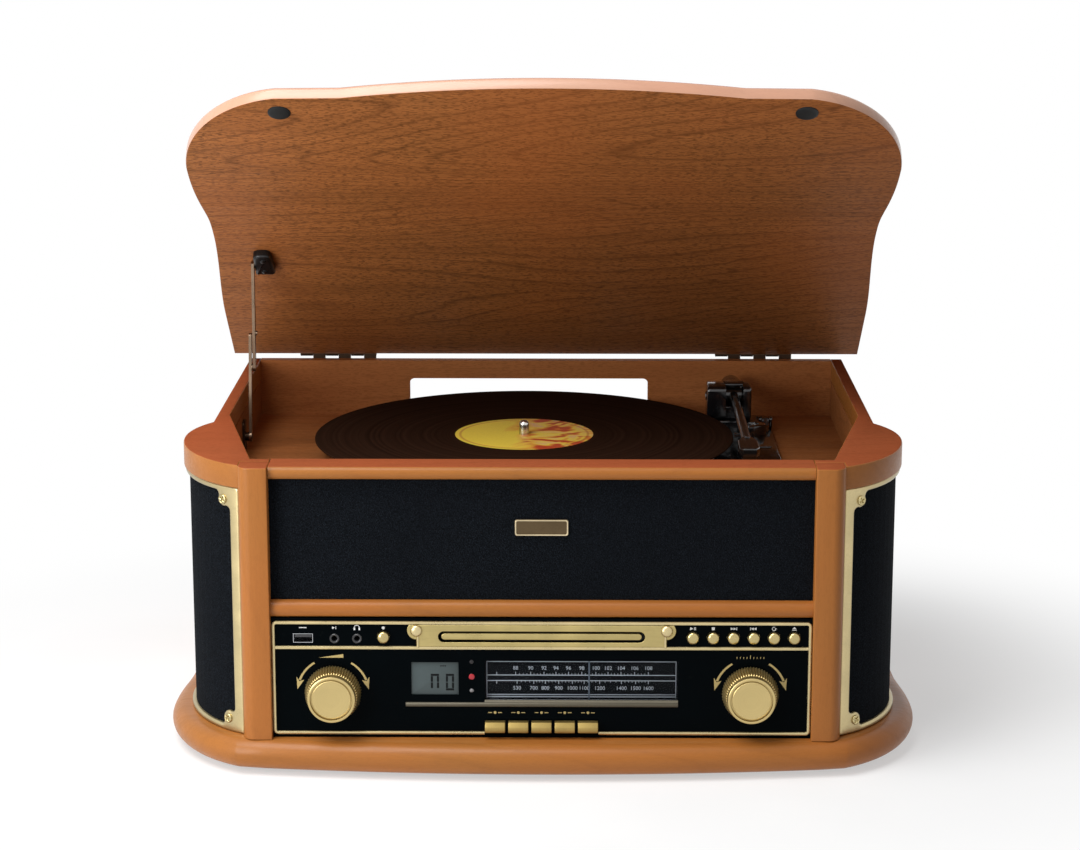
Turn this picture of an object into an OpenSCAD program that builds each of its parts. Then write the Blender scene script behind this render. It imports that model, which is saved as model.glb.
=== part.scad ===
// Stereo music centre in a wooden cabinet, lid propped open.
// The origin is under the middle of the plinth, on the surface it stands on.
// X runs to the right of someone facing the controls, Y to the rear and Z up.

/* [Cabinet] */
// Width of the cabinet behind its round corners
body_w = 457.6; // [455:0.2:461]
// How far the round front corners stand out at each side
bulge_out = 13.5; // [12.2:0.1:15.7]
// Height from the top of the plinth to the top of the frame
body_h = 183.8; // [183:0.2:200]
// Side radius of a round front corner
corner_side_r = 78; // [76:0.5:81]
// Front radius of a round front corner
corner_front_r = 93; // [90:0.5:96]
// Thickness of the side boards
board_t = 8.8; // [7:0.1:10]
// Thickness of the wall behind the turntable
wall_t = 8.6; // [7:0.1:10]
// Thickness of the top frame at the sides and corners
cap_t = 15.5; // [13:0.5:18]
// Thickness of the front rails' nose
rail_t = 8.8; // [8:0.1:10]
// Thickness of the rail above the controls
mid_rail_t = 11.4; // [10:0.1:13]
// Thickness of the deck board
deck_t = 10; // [8:0.5:12]
// Depth of the turntable well below the top of the frame
well_depth = 43; // [42:0.5:46]
// Thickness of the speaker boards
baffle_t = 6; // [5:0.5:7]
// Thickness of the rear panel
rear_t = 3; // [2.5:0.5:4]
// How far the rear panel lies in from the rear edges
rear_inset = 2; // [1:0.5:4]

/* [Front] */
// Width between the front posts
post_gap = 354.6; // [352:0.2:357]
// Width of a front post
post_w = 19.4; // [18:0.2:21]
// Depth of a front post
post_d = 20; // [18:0.5:22]
// Radius of a post's outer edge
post_round = 8; // [5:0.5:10]
// How far the posts stand in front of the rails
post_proud = 3.7; // [2:0.1:5]
// Height of the opening for the controls
control_h = 82; // [81:0.5:84]
// Thickness of the cloth covered board
grille_t = 10.3; // [8:0.1:12]
// How far the cloth lies behind the rails' noses
grille_inset = 6; // [5:0.5:8]
// Width of the bare badge plate
badge_w = 35; // [30:0.5:40]
// Height of the bare badge plate
badge_h = 11; // [8:0.5:13]
// Depth of the front edge of the well behind the rail's nose
front_rail_d = 23.5; // [22:0.5:25]

/* [Side grilles] */
// Thickness of the curved cloth covered grille
side_cloth_t = 2.4; // [2:0.1:3]
// How far the side cloth lies in from the cap
side_cloth_in = 3.6; // [3:0.1:5]
// Thickness of the gold trim
trim_t = 2.6; // [2:0.1:3]
// Width of the trim's curved strips
trim_w = 4; // [3:0.5:5]
// Radius of the trim's screw lugs
lug_r = 4.7; // [4:0.1:6]
// Radius of a trim screw's head
screw_r = 3; // [2.5:0.1:3.5]
// Outer radius of a loudspeaker
speaker_r = 46; // [40:1:48]
// Depth of a loudspeaker behind its board
speaker_d = 42; // [36:1:46]

/* [Plinth] */
// Width of the plinth over its nose
base_w = 511; // [507:1:514]
// Depth of the plinth over its nose
base_d = 387; // [387:1:392]
// Thickness of the plinth
base_t = 20.5; // [18:0.5:24]
// How far the plinth stands out behind the cabinet
base_back_lip = 7.5; // [7:0.5:9]
// How far the plinth's nose stands in front of the rails
base_front_lip = 21.5; // [21:0.5:24]
// Height of the rubber feet
foot_h = 3; // [2:0.5:5]
// Radius of the rubber feet
foot_r = 12; // [9:0.5:16]

/* [Lid] */
// Angle that the lid is open
lid_open = 38.8; // [36:0.2:41]
// How far the lid's rear reaches beyond the cabinet at each side
lid_rear_out = 12.7; // [11.2:0.1:14.2]
// How far the lid's waist reaches beyond the cabinet at each side
lid_waist_out = 7.7; // [6.2:0.1:9.2]
// How far the lid's round corners reach beyond the cabinet at each side
lid_bulge_out = 15.7; // [14.2:0.1:17.2]
// Thickness of the lid
lid_t = 9.6; // [8.6:0.2:10.6]
// Gap between the closed lid and the frame
lid_gap = 1.8; // [1.6:0.1:2.2]
// How far the lid's front bows out in the middle
lid_bow = 11.8; // [8:0.2:12.4]
// Radius of a hinge barrel
barrel_r = 1.7; // [1.6:0.1:1.9]
// Radius of a hinge pin
hinge_pin_r = 0.9; // [0.7:0.1:1.1]
// Length of a hinge
hinge_l = 59; // [50:1:64]
// Distance of a hinge from the middle
hinge_x = 160.5; // [150:0.5:170]
// Radius of the lid's rubber bumpers
bumper_r = 7.6; // [6:0.2:9]
// Distance from the lid's hinge to the stay's pivot on the lid
stay_reach = 147.4; // [146:0.2:149]
// Length of the stay's lower bar between its pivots
stay_lower_l = 50.5; // [49:0.5:52]
// Length of the lower bar beyond the elbow
stay_tail = 22.4; // [18:0.2:24]
// Width of the stay's bars
stay_bar_w = 5.6; // [5:0.2:7]
// Thickness of the stay's bars
stay_bar_t = 2; // [1.4:0.1:2.2]

/* [Turntable] */
// Distance of the spindle from the middle, to the left
spindle_off = 14.5; // [12:0.5:16]
// Distance of the spindle in front of the rear of the cabinet
spindle_back = 144; // [144:0.5:147]
// Radius of the spindle
spindle_r = 3.6; // [3.5:0.05:3.65]
// Height of the spindle above the record
spindle_up = 10; // [8:0.5:12]
// Diameter of the record
record_d = 302; // [298:1:302]
// Thickness of the record
record_t = 1.6; // [1.4:0.1:2]
// Diameter of the record's label
label_d = 100; // [90:1:102]
// Height of the record's top above the deck
record_up = 16.2; // [16:0.2:18]
// Diameter of the platter
platter_d = 200; // [190:1:210]
// Thickness of the slip mat
mat_t = 1.4; // [1:0.1:2]
// Outer radius of the platter's belt rim
hub_r = 55; // [50:1:60]
// Radius of the motor's pulley
pulley_r = 5; // [4:0.5:6]
// Distance from the spindle to the motor
motor_away = 75; // [72:1:80]
// Radius of the motor
motor_r = 16; // [14:0.5:18]
// Height of the motor
motor_h = 25; // [22:1:28]
// Width of the slot in the wall behind the record
slot_w = 184; // [180:1:188]
// Height of the slot in the wall behind the record
slot_h = 27; // [25:0.5:28]

/* [Tonearm] */
// Distance of the arm's pivot from the middle
arm_x = 142; // [140:0.5:144]
// Distance of the arm's pivot in front of the rear of the cabinet
arm_back = 58; // [56:0.5:60]
// Distance from the arm's pivot to the stylus
arm_l = 180; // [178:0.5:184]
// Radius of the arm tube
arm_r = 3.6; // [3:0.1:4]
// Height of the arm tube above the deck
arm_up = 27; // [26.5:0.5:28]
// Radius of the counterweight
weight_r = 8; // [7:0.2:8.4]

/* [Controls] */
// Thickness of the fascia panel
fascia_t = 3; // [2.5:0.1:3.5]
// How far the fascia lies behind the rails' noses
fascia_in = 2; // [1.5:0.1:3]
// Height of the fascia's gold frame
fascia_h = 78; // [76:0.2:79]
// Width of the frame's gold line
line_w = 2.4; // [2:0.1:3]
// Height of the frame above the plinth
fascia_up = 2; // [1.6:0.1:3]
// How far the gold parts stand out from the fascia
gold_t = 1.2; // [0.8:0.1:1.6]
// Radius of the two large knobs at the fascia
knob_r = 18.4; // [16:0.2:19]
// Radius of the knobs' front edge
knob_front_r = 15.2; // [14:0.2:16]
// Depth of the two large knobs
knob_d = 16; // [12:0.5:18]
// Distance of the knobs from the middle
knob_x = 137.1; // [135.6:0.1:139]
// Height of the knobs' axes above the plinth
knob_up = 31; // [29:0.5:33]
// Number of ribs round a knob
knob_ribs = 48; // [36:1:60]
// Radius of a knob's shaft
shaft_r = 3; // [2.5:0.1:3.2]
// Radius of a round button
button_r = 3.9; // [3.6:0.1:4.3]
// Distance between the round buttons
button_pitch = 13.25; // [12.6:0.05:13.6]
// Travel of a round button
button_travel = 1.5; // [1:0.1:1.8]
// Distance of the first round button on the right from the middle
button_x = 99; // [98:0.5:100]
// Distance of the single round button from the middle
lone_button_x = 103.6; // [102:0.1:105]
// Width of a key
key_w = 13.3; // [12.6:0.1:13.8]
// Height of a key
key_h = 7; // [6.5:0.1:8]
// Distance between the keys
key_pitch = 15.3; // [14.6:0.1:16]
// Travel of a key
key_travel = 3; // [2:0.1:3.2]
// Width of the slot for the disc tray
tray_slot_w = 135.4; // [134:0.2:137]
// Height of the slot for the disc tray
tray_slot_h = 7.4; // [7:0.1:8]
// Height of the slot's middle above the plinth
tray_up = 69.5; // [69:0.1:70]
// Depth of the disc tray
tray_d = 150; // [146:1:154]
// Radius of the tray's disc recess
disc_r = 60.5; // [60:0.1:61]
// Width of the dial window
dial_w = 127.2; // [124:0.2:130]
// Height of the dial window
dial_h = 30; // [28:0.5:31]
// Width of the display
display_w = 31.4; // [28:0.2:33]
// Height of the display
display_h = 22.6; // [20:0.2:24]
// Bore radius of the two small jacks
jack_r = 1.8; // [1.75:0.05:1.9]

/* [Hidden] */
$fn = 64;

// Clearances
fit = 0.3;
bearing_fit = 0.05;
eps = 0.02;

// Heights
floor_z = foot_h + base_t;
top_z = floor_z + body_h;
cap_z = top_z - cap_t;
rail_z = top_z - rail_t;
deck_z = top_z - well_depth;
under_z = deck_z - deck_t;
mid_z = floor_z + control_h;
cloth_z = mid_z + mid_rail_t;

// Cabinet plan
half_w = body_w / 2;
well_x = half_w - board_t;
back_y = base_d / 2 - base_back_lip;
front_y = base_front_lip - base_d / 2;
post_y = front_y - post_proud;
post_back_y = post_y + post_d;
post_x = post_gap / 2;
post_out = post_x + post_w;
well_back_y = back_y - wall_t;
well_front_y = front_y + front_rail_d;
bulge_w = body_w + 2 * bulge_out;
bulge_x = bulge_w / 2 - corner_side_r;
bulge_y = post_y + corner_front_r;
waist_a = acos((half_w - bulge_x) / corner_side_r);
waist_y = bulge_y + corner_side_r * sin(waist_a);
well_corner_x = post_out - 6;
well_corner_y = waist_y + 23.6;
panel_y = back_y - rear_inset - rear_t;
cloth_y = front_y + grille_inset;

// Fascia
face_y = front_y + fascia_in;
inner_y = face_y + fascia_t;
frame_bottom = floor_z + fascia_up;
frame_top = frame_bottom + fascia_h;
frame_half = post_x - fit;
line_z = frame_bottom + 59.8;
knob_z = floor_z + knob_up;
button_z = floor_z + 69.3;
tray_z = floor_z + tray_up;
dial_x = 26.2;
dial_z = floor_z + 37.8;
display_x = -70.1;
display_z = floor_z + 40.5;
key_z = floor_z + fascia_up + 2.7;
board_y = inner_y + 15;
board_low = floor_z + 6;
board_high = line_z - 4;
pcb_t = 1.6;

// Lid and its hinge
lid_z = top_z + lid_gap;
hinge_y = back_y + barrel_r + fit;
hinge_z = lid_z + 1.3;
leaf_t = 1;
lid_back_y = back_y;
lid_front_y = front_y - 3.4;
stay_x = -well_x + 4.4;
stay_wall = [hinge_y - 130, hinge_z - 35.9];
stay_drop = 4.5;

// Turntable
spindle_x = -spindle_off;
spindle_y = back_y - spindle_back;
record_z = deck_z + record_up;
mat_z = record_z - record_t - mat_t;
platter_low = deck_z + 3.6;
motor_a = 150;
motor_x = spindle_x + motor_away * cos(motor_a);
motor_y = spindle_y + motor_away * sin(motor_a);
belt_z = deck_z + 5;
belt_h = 3.4;
arm_y = back_y - arm_back;
arm_z = deck_z + arm_up;
plate_t = 3;

// A point or vector turned by an angle
function turned(p, a) = [p[0] * cos(a) - p[1] * sin(a), p[0] * sin(a) + p[1] * cos(a)];
function reversed(list) = [for (i = [len(list) - 1 : -1 : 0]) list[i]];
// Points of a right side that runs from rear to front, made into a closed outline
function both_sides(side) = concat([for (p = side) [-p[0], p[1]]], reversed(side));
function arc(cx, cy, rx, ry, from, to, n) = [
    for (i = [0 : n])
        let (a = from + (to - from) * i / n)
        [cx + rx * cos(a), cy + ry * sin(a)]
];
// The two larger of smooth curves, blended where they meet
function soft_max(a, b, k) = (a + b + sqrt((a - b) * (a - b) + k * k)) / 2;
function eased(t) = t < 0 ? 0 : t > 1 ? 1 : t * t * (3 - 2 * t);

// Right side of the cabinet from its sharp waist to the post, grown outwards by g
function corner_side(g, x_end) =
    let (
        r = corner_side_r + g,
        waist = acos((half_w + g - bulge_x) / r),
        last = acos((x_end - bulge_x) / r)
    )
    concat(
        arc(bulge_x, bulge_y, r, r, waist, 0, 8),
        arc(bulge_x, bulge_y, r, corner_front_r + g, -last / 12, -last, 11)
    );
// Right side of a lipped board, gently waisted from the rear to the middle of the bulge
function lipped_x(y, g, rear, waist, bulge) =
    let (
        rx = bulge - bulge_x + g,
        ry = 142 + g,
        s = (y - bulge_y) / ry,
        round_x = s < 1 ? bulge_x + rx * sqrt(1 - s * s) : 0,
        rear_x = waist + g + (rear - waist) * eased((y - 2) / (back_y - 66))
    )
    soft_max(round_x, rear_x, 3) - 0.4;
function lipped_side(g, rear, waist, bulge, back, front_r, x_end) =
    let (
        rx = bulge - bulge_x + g,
        last = acos((x_end - bulge_x) / rx),
        n = 18
    )
    concat(
        [for (i = [0 : n - 1])
            let (y = back + (bulge_y - back) * i / n)
            [lipped_x(y, g, rear, waist, bulge), y]],
        arc(bulge_x, bulge_y, rx, front_r + g, -last / 14, -last, 13)
    );

// A solid through loops of as many points each, [points, height], from the bottom up. Each loop is
// its own mirror image, so its first point faces its last, and the flat ends are cut straight across.
module through_loops(loops) {
    n = len(loops[0][0]);
    m = len(loops);
    corners = [for (l = loops, p = l[0]) [p[0], p[1], l[1]]];
    sides = [
        for (k = [0 : m - 2], i = [0 : n - 1], half = [0, 1])
            let (j = (i + 1) % n, here = k * n, next = (k + 1) * n)
            half == 0 ? [here + i, next + i, next + j] : [here + i, next + j, here + j]
    ];
    bottom = [
        for (i = [0 : n / 2 - 2], half = [0, 1])
            half == 0 ? [i, i + 1, n - 2 - i] : [i, n - 2 - i, n - 1 - i]
    ];
    top = [for (f = bottom) [for (i = [2 : -1 : 0]) (m - 1) * n + f[i]]];
    polyhedron(corners, concat(bottom, sides, top), convexity = 6);
}
module plate(x0, x1, y0, y1, z0, z1) {
    translate([x0, y0, z0])
        cube([x1 - x0, y1 - y0, z1 - z0]);
}
module pair() {
    children();
    mirror([1, 0, 0])
        children();
}
// A round bar along Y from y0 to y1
module bar_y(x, z, r, y0, y1) {
    translate([x, y1, z])
        rotate([90, 0, 0])
            cylinder(r = r, h = y1 - y0);
}
// A round bar along X from x0 to x1
module bar_x(y, z, r, x0, x1) {
    translate([x0, y, z])
        rotate([0, 90, 0])
            cylinder(r = r, h = x1 - x0);
}
// An outline in X and Z, drawn out along Y from y0 to y1
module along_y(y0, y1) {
    translate([0, y1, 0])
        rotate([90, 0, 0])
            linear_extrude(y1 - y0)
                children();
}
// An outline in Y and Z, drawn out along X from x0 to x1
module along_x(x0, x1) {
    translate([x0, 0, 0])
        rotate([90, 0, 90])
            linear_extrude(x1 - x0)
                children();
}
module round_box(w, h, r) {
    square([w - 2 * r, h], center = true);
    square([w, h - 2 * r], center = true);
    for (i = [-1, 1], j = [-1, 1])
        translate([i * (w / 2 - r), j * (h / 2 - r)])
            circle(r = r);
}

// Cabinet

base_crease = 10.2;
base_bow = 12.8;
base_bow_x = 200;
module base_plinth() {
    bulge = base_w / 2 - base_crease;
    rear = bulge - 2.6;
    waist = bulge - 4.6;
    crease_back = base_d / 2 - base_crease;
    crease_front = base_crease - base_d / 2;
    function loop(g) = both_sides(concat(
        lipped_side(g, rear, waist, bulge, crease_back + g, corner_front_r + 3, base_bow_x),
        [for (i = [1 : 5])
            let (x = base_bow_x * (1 - i / 5.5))
            [x, crease_front - g + base_bow * pow(x / base_bow_x, 2)]]
    ));
    color("peru")
        through_loops([
            for (k = [0 : 8])
                let (a = -90 + 180 * k / 8)
                [loop(base_crease * cos(a)), foot_h + base_t / 2 + base_t / 2 * sin(a)]
        ]);
}
foot_side_in = 65.5;
foot_front_in = 73.5;
foot_back_in = 53.5;
module rubber_feet() {
    color("dimgray")
        for (x = [foot_side_in - base_w / 2, base_w / 2 - foot_side_in],
                y = [foot_front_in - base_d / 2, base_d / 2 - foot_back_in])
            translate([x, y, 0])
                cylinder(r = foot_r, h = foot_h);
}
module front_nose(z0, t, y_back) {
    along_x(-post_x, post_x) {
        translate([front_y + t / 2, z0])
            square([y_back - front_y - t / 2, t]);
        translate([front_y + t / 2, z0 + t / 2])
            circle(r = t / 2);
    }
}
module top_frame() {
    outline = concat(
        [[half_w, back_y]],
        corner_side(0, post_out),
        [
            [post_out, post_back_y], [post_x, post_back_y], [post_x, well_front_y],
            [well_corner_x, well_front_y], [well_x, well_corner_y], [well_x, back_y]
        ]
    );
    color("sienna") {
        pair()
            translate([0, 0, cap_z])
                linear_extrude(cap_t)
                    polygon(outline);
        front_nose(rail_z, rail_t, well_front_y);
    }
}
baffle_a = [post_out + 3.4, post_back_y + 2];
baffle_b = [well_x + 1, waist_y - 3];
baffle_u = (baffle_b - baffle_a) / norm(baffle_b - baffle_a);
baffle_n = [-baffle_u[1], baffle_u[0]];
baffle_in_a = baffle_a + baffle_n * baffle_t;
baffle_in_b = baffle_b + baffle_n * baffle_t;
baffle_mid = (baffle_a + baffle_b) / 2;
speaker_z = (floor_z + under_z) / 2;
// Puts something drawn along +Z from the speaker board's outer face inwards
module at_speaker() {
    translate([baffle_mid[0], baffle_mid[1], speaker_z])
        rotate([0, -90, atan2(baffle_n[1], baffle_n[0]) + 180])
            children();
}
module side_boards() {
    color("saddlebrown")
        pair() {
            plate(well_x, half_w, waist_y, back_y, floor_z, cap_z);
            difference() {
                translate([0, 0, floor_z])
                    linear_extrude(cap_z - floor_z)
                        polygon([baffle_a, baffle_b, baffle_in_b, baffle_in_a]);
                at_speaker()
                    translate([0, 0, -baffle_t])
                        cylinder(r = speaker_r - 6 + fit, h = 3 * baffle_t);
            }
        }
}
module front_rails() {
    color("peru") {
        pair()
            translate([0, 0, floor_z])
                linear_extrude(top_z - floor_z)
                    polygon(concat(
                        [[post_x, post_y]],
                        arc(post_out - post_round, post_y + post_round, post_round,
                            post_round, -90, 0, 8),
                        [[post_out, post_back_y], [post_x, post_back_y]]
                    ));
        front_nose(mid_z, mid_rail_t, post_back_y);
    }
}
slot_low = deck_z + 2;
slot_mid = spindle_x + 1.5;
module back_wall() {
    color("saddlebrown")
        difference() {
            plate(-well_x, well_x, well_back_y, back_y, under_z, top_z);
            along_y(well_back_y - 1, back_y + 1)
                translate([slot_mid, slot_low + slot_h / 2])
                    round_box(slot_w, slot_h, 4);
        }
}
rca_r = 4.2;
rca_x = [120, 140];
rca_z = floor_z + 60;
inlet_x = -120;
inlet_z = floor_z + 26;
inlet_w = 22;
inlet_h = 12;
aerial_x = 175;
module rear_panel() {
    color("#3a332c")
        difference() {
            plate(-well_x, well_x, panel_y, panel_y + rear_t, floor_z, under_z);
            for (x = concat(rca_x, [aerial_x]))
                bar_y(x, rca_z, rca_r + 0.1, panel_y - 1, panel_y + rear_t + 1);
            plate(inlet_x - inlet_w / 2, inlet_x + inlet_w / 2, panel_y - 1,
                panel_y + rear_t + 1, inlet_z - inlet_h / 2, inlet_z + inlet_h / 2);
            for (i = [0 : 7])
                plate(-40 + i * 10, -36 + i * 10, panel_y - 1, panel_y + rear_t + 1,
                    floor_z + 50, floor_z + 90);
        }
}
bearing_r = 9;
motor_hole_r = 5;
module deck_board() {
    outline = [
        [well_x, well_back_y], [well_x, waist_y], [baffle_in_b[0], waist_y],
        baffle_in_b, baffle_in_a, [baffle_in_a[0], post_back_y]
    ];
    color("saddlebrown")
        difference() {
            translate([0, 0, under_z])
                linear_extrude(deck_t)
                    polygon(both_sides(outline));
            translate([spindle_x, spindle_y, under_z - 1])
                cylinder(r = bearing_r, h = deck_t + 2);
            translate([motor_x, motor_y, under_z - 1])
                cylinder(r = motor_hole_r, h = deck_t + 2);
        }
}
module front_grille() {
    color("#15171c")
        plate(-post_x, post_x, cloth_y, cloth_y + grille_t, cloth_z, rail_z);
}
badge_z = cloth_z + 0.602 * (rail_z - cloth_z);
module badge_plate() {
    color("#8a7a55")
        along_y(cloth_y - 1.6, cloth_y)
            translate([0, badge_z])
                round_box(badge_w, badge_h, 1.5);
}

// Loudspeakers and side grilles

module speakers() {
    cone_r = speaker_r - 10;
    magnet_r = speaker_r - 22;
    color("#2b2b2e")
        pair()
            at_speaker()
                rotate_extrude()
                    polygon([
                        [0, speaker_d], [magnet_r, speaker_d], [magnet_r, speaker_d - 14],
                        [magnet_r - 8, speaker_d - 14], [cone_r + 2, baffle_t + 3],
                        [speaker_r - 6, baffle_t], [speaker_r - 6, 0], [speaker_r, 0],
                        [speaker_r, -3], [cone_r + 2, -3], [cone_r - 4, 1], [11, speaker_d - 20],
                        [8, speaker_d - 26], [0, speaker_d - 28]
                    ]);
}
// A curved wall between two growths of the cabinet's corner
module corner_wall(g_out, g_in, z0, z1, x_end) {
    translate([0, 0, z0])
        linear_extrude(z1 - z0)
            polygon(concat(corner_side(g_out, x_end), reversed(corner_side(g_in, x_end))));
}
module side_cloths() {
    color("#15171c")
        pair()
            corner_wall(-side_cloth_in, -side_cloth_in - side_cloth_t, floor_z, cap_z, post_out);
}
trim_out = trim_t - side_cloth_in;
// Puts something drawn along +Z on the side cloth at an angle round the corner, facing out
module on_corner(a, z, g) {
    rx = corner_side_r + g;
    ry = (a < 0 ? corner_front_r : corner_side_r) + g;
    facing = atan2(sin(a) / ry, cos(a) / rx);
    translate([bulge_x + rx * cos(a), bulge_y + ry * sin(a), z])
        rotate([0, 90, facing])
            children();
}
lug_front_a = -57;
lug_rear_a = 22;
lug_in = trim_w + lug_r - 1.2;
module at_lugs() {
    for (a = [lug_front_a, lug_rear_a], z = [floor_z + lug_in, cap_z - lug_in])
        on_corner(a, z, -side_cloth_in)
            children();
}
module side_trims() {
    color("#cdbb84")
        pair() {
            difference() {
                corner_wall(trim_out, -side_cloth_in, floor_z, cap_z, post_out);
                plate(post_out + 7, bulge_w, post_y - 20, waist_y - trim_w - 3,
                    floor_z + trim_w, cap_z - trim_w);
            }
            at_lugs()
                translate([0, 0, 0.6])
                    cylinder(r = lug_r, h = trim_t - 0.6);
        }
}
module trim_screws() {
    color("#e0d29a")
        pair()
            at_lugs()
                difference() {
                    translate([0, 0, trim_t])
                        cylinder(r1 = screw_r, r2 = screw_r - 1, h = 1.2);
                    for (a = [0, 90])
                        rotate([0, 0, a])
                            translate([-2, -0.4, trim_t + 0.6])
                                cube([4, 0.8, 2]);
                }
}

// Control panel

right_buttons = [for (i = [0 : 5]) button_x + i * button_pitch];
button_xs = concat([-lone_button_x], right_buttons);
usb_x = -156.3;
usb_w = 13;
usb_h = 6.2;
usb_z = button_z - 1.1;
jack_xs = [-135.7, -120.9];
jack_z = button_z - 1.4;
jack_out_r = 3.2;
lamp_x = -45.9;
lamp_zs = [dial_z + 14.4, dial_z + 3.9, dial_z - 5.7];
lamp_r = 1.5;
keys_half = 2 * key_pitch + key_w / 2 + fit;
module fascia_panel() {
    color("#0b0b0d")
        difference() {
            plate(-post_x, post_x, face_y, inner_y, floor_z, mid_z);
            for (x = [-knob_x, knob_x])
                bar_y(x, knob_z, shaft_r + 1, face_y - 1, inner_y + 1);
            for (x = button_xs)
                bar_y(x, button_z, button_r + fit, face_y - 1, inner_y + 1);
            for (x = jack_xs)
                bar_y(x, jack_z, jack_out_r + 0.1, face_y - 1, inner_y + 1);
            for (z = lamp_zs)
                bar_y(lamp_x, z, lamp_r + 0.1, face_y - 1, inner_y + 1);
            plate(usb_x - usb_w / 2, usb_x + usb_w / 2, face_y - 1, inner_y + 1,
                usb_z - usb_h / 2, usb_z + usb_h / 2);
            plate(display_x - display_w / 2, display_x + display_w / 2, face_y - 1,
                inner_y + 1, display_z - display_h / 2, display_z + display_h / 2);
            plate(dial_x - dial_w / 2, dial_x + dial_w / 2, face_y - 1, inner_y + 1,
                dial_z - dial_h / 2, dial_z + dial_h / 2);
            for (i = [-2 : 2])
                plate(i * key_pitch - key_w / 2 - fit, i * key_pitch + key_w / 2 + fit,
                    face_y - 1, inner_y + 1, key_z - fit, key_z + key_h + fit);
            along_y(face_y - 1, inner_y + 1)
                translate([0, tray_z])
                    round_box(tray_slot_w, tray_slot_h, tray_slot_h / 2 - eps);
        }
}
boss_x = 82;
boss_z = tray_z + 4.2;
boss_r = 3.4;
lobe_r = 6;
module fascia_frame() {
    inner_h = fascia_h - 2 * line_w;
    color("#d8c58d")
        along_y(face_y - gold_t, face_y)
            difference() {
                union() {
                    difference() {
                        translate([0, (frame_bottom + frame_top) / 2])
                            round_box(2 * frame_half, fascia_h, 3);
                        translate([0, (frame_bottom + frame_top) / 2])
                            round_box(2 * (frame_half - line_w), inner_h, 2);
                    }
                    for (side = [-1, 1])
                        translate([side * (frame_half + boss_x) / 2, line_z])
                            square([frame_half - boss_x - 1, line_w], center = true);
                }
                translate([0, frame_bottom])
                    square([2 * keys_half, 2 * (key_h + fit)], center = true);
            }
}
module cd_plate() {
    low = line_z - line_w / 2;
    high = frame_top - line_w - fit;
    color("#c3ae74") {
        along_y(face_y - gold_t, face_y)
            difference() {
                intersection() {
                    union() {
                        translate([-boss_x, low])
                            square([2 * boss_x, high - low]);
                        for (side = [-1, 1]) {
                            translate([side * boss_x, boss_z])
                                circle(r = lobe_r);
                            translate([side * boss_x - lobe_r, boss_z])
                                square([2 * lobe_r, high - boss_z]);
                        }
                    }
                    translate([-frame_half, low])
                        square([2 * frame_half, high - low]);
                }
                translate([0, tray_z])
                    round_box(tray_slot_w, tray_slot_h, tray_slot_h / 2 - eps);
            }
        for (side = [-1, 1])
            translate([side * boss_x, face_y - gold_t, boss_z])
                rotate([90, 0, 0])
                    rotate_extrude()
                        polygon([[0, 0], [boss_r, 0], [boss_r, 0.8], [2.6, 1.9], [1.4, 2.5],
                            [0, 2.7]]);
    }
}
window_y = face_y + 1.2;
module dial_window() {
    low = dial_z - dial_h / 2;
    ledge_x = dial_x - dial_w / 2 - 52;
    color("#7f8a8a") {
        plate(dial_x - dial_w / 2, dial_x + dial_w / 2, face_y, window_y, low,
            low + dial_h);
        plate(ledge_x, dial_x + dial_w / 2, face_y - 1.4, face_y, low - 1.2, low + 1.6);
    }
}
scale_y = inner_y + 1.4;
rail_up_z = dial_z + dial_h / 2 + 3.4;
module dial_scale() {
    x0 = dial_x - dial_w / 2 - 3;
    x1 = dial_x + dial_w / 2 + 3;
    color("#1b1c1f") {
        plate(x0, x1, scale_y, scale_y + 1, dial_z - dial_h / 2 - 1, dial_z + dial_h / 2 - 1);
        for (x = [x0, x1 - 3])
            plate(x, x + 3, inner_y, scale_y + 5, dial_z - dial_h / 2 - 1, rail_up_z + 2);
        bar_x(scale_y + 3, rail_up_z, 1, x0 + 1, x1 - 1);
        for (x = [x0, x1 - 3])
            plate(x, x + 3, scale_y + 5, board_y, dial_z - 2, dial_z + 2);
    }
}
module display() {
    color("#69787a") {
        plate(display_x - display_w / 2, display_x + display_w / 2, face_y + 0.8,
            board_y - 4, display_z - display_h / 2, display_z + display_h / 2);
        for (z = lamp_zs)
            bar_y(lamp_x, z, lamp_r, face_y - 0.6, board_y);
        plate(display_x - 10, display_x + 10, board_y - 4, board_y, display_z - 6,
            display_z + 6);
    }
}
module front_sockets() {
    deep = board_y;
    color("silver") {
        difference() {
            plate(usb_x - usb_w / 2, usb_x + usb_w / 2, face_y, deep, usb_z - usb_h / 2,
                usb_z + usb_h / 2);
            plate(usb_x - usb_w / 2 + 0.4, usb_x + usb_w / 2 - 0.4, face_y - 1, deep - 2,
                usb_z - usb_h / 2 + 0.4, usb_z + usb_h / 2 - 0.4);
        }
        plate(usb_x - 5.5, usb_x + 5.5, face_y + 1, deep - 2, usb_z + 0.3, usb_z + 2.1);
        for (x = jack_xs)
            difference() {
                union() {
                    bar_y(x, jack_z, jack_out_r, face_y - 0.6, deep);
                    bar_y(x, jack_z, jack_out_r + 1.4, inner_y, deep);
                }
                bar_y(x, jack_z, jack_r, face_y - 2, deep - 2);
            }
    }
}
switch_h = 4;
stem_r = 2;
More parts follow.
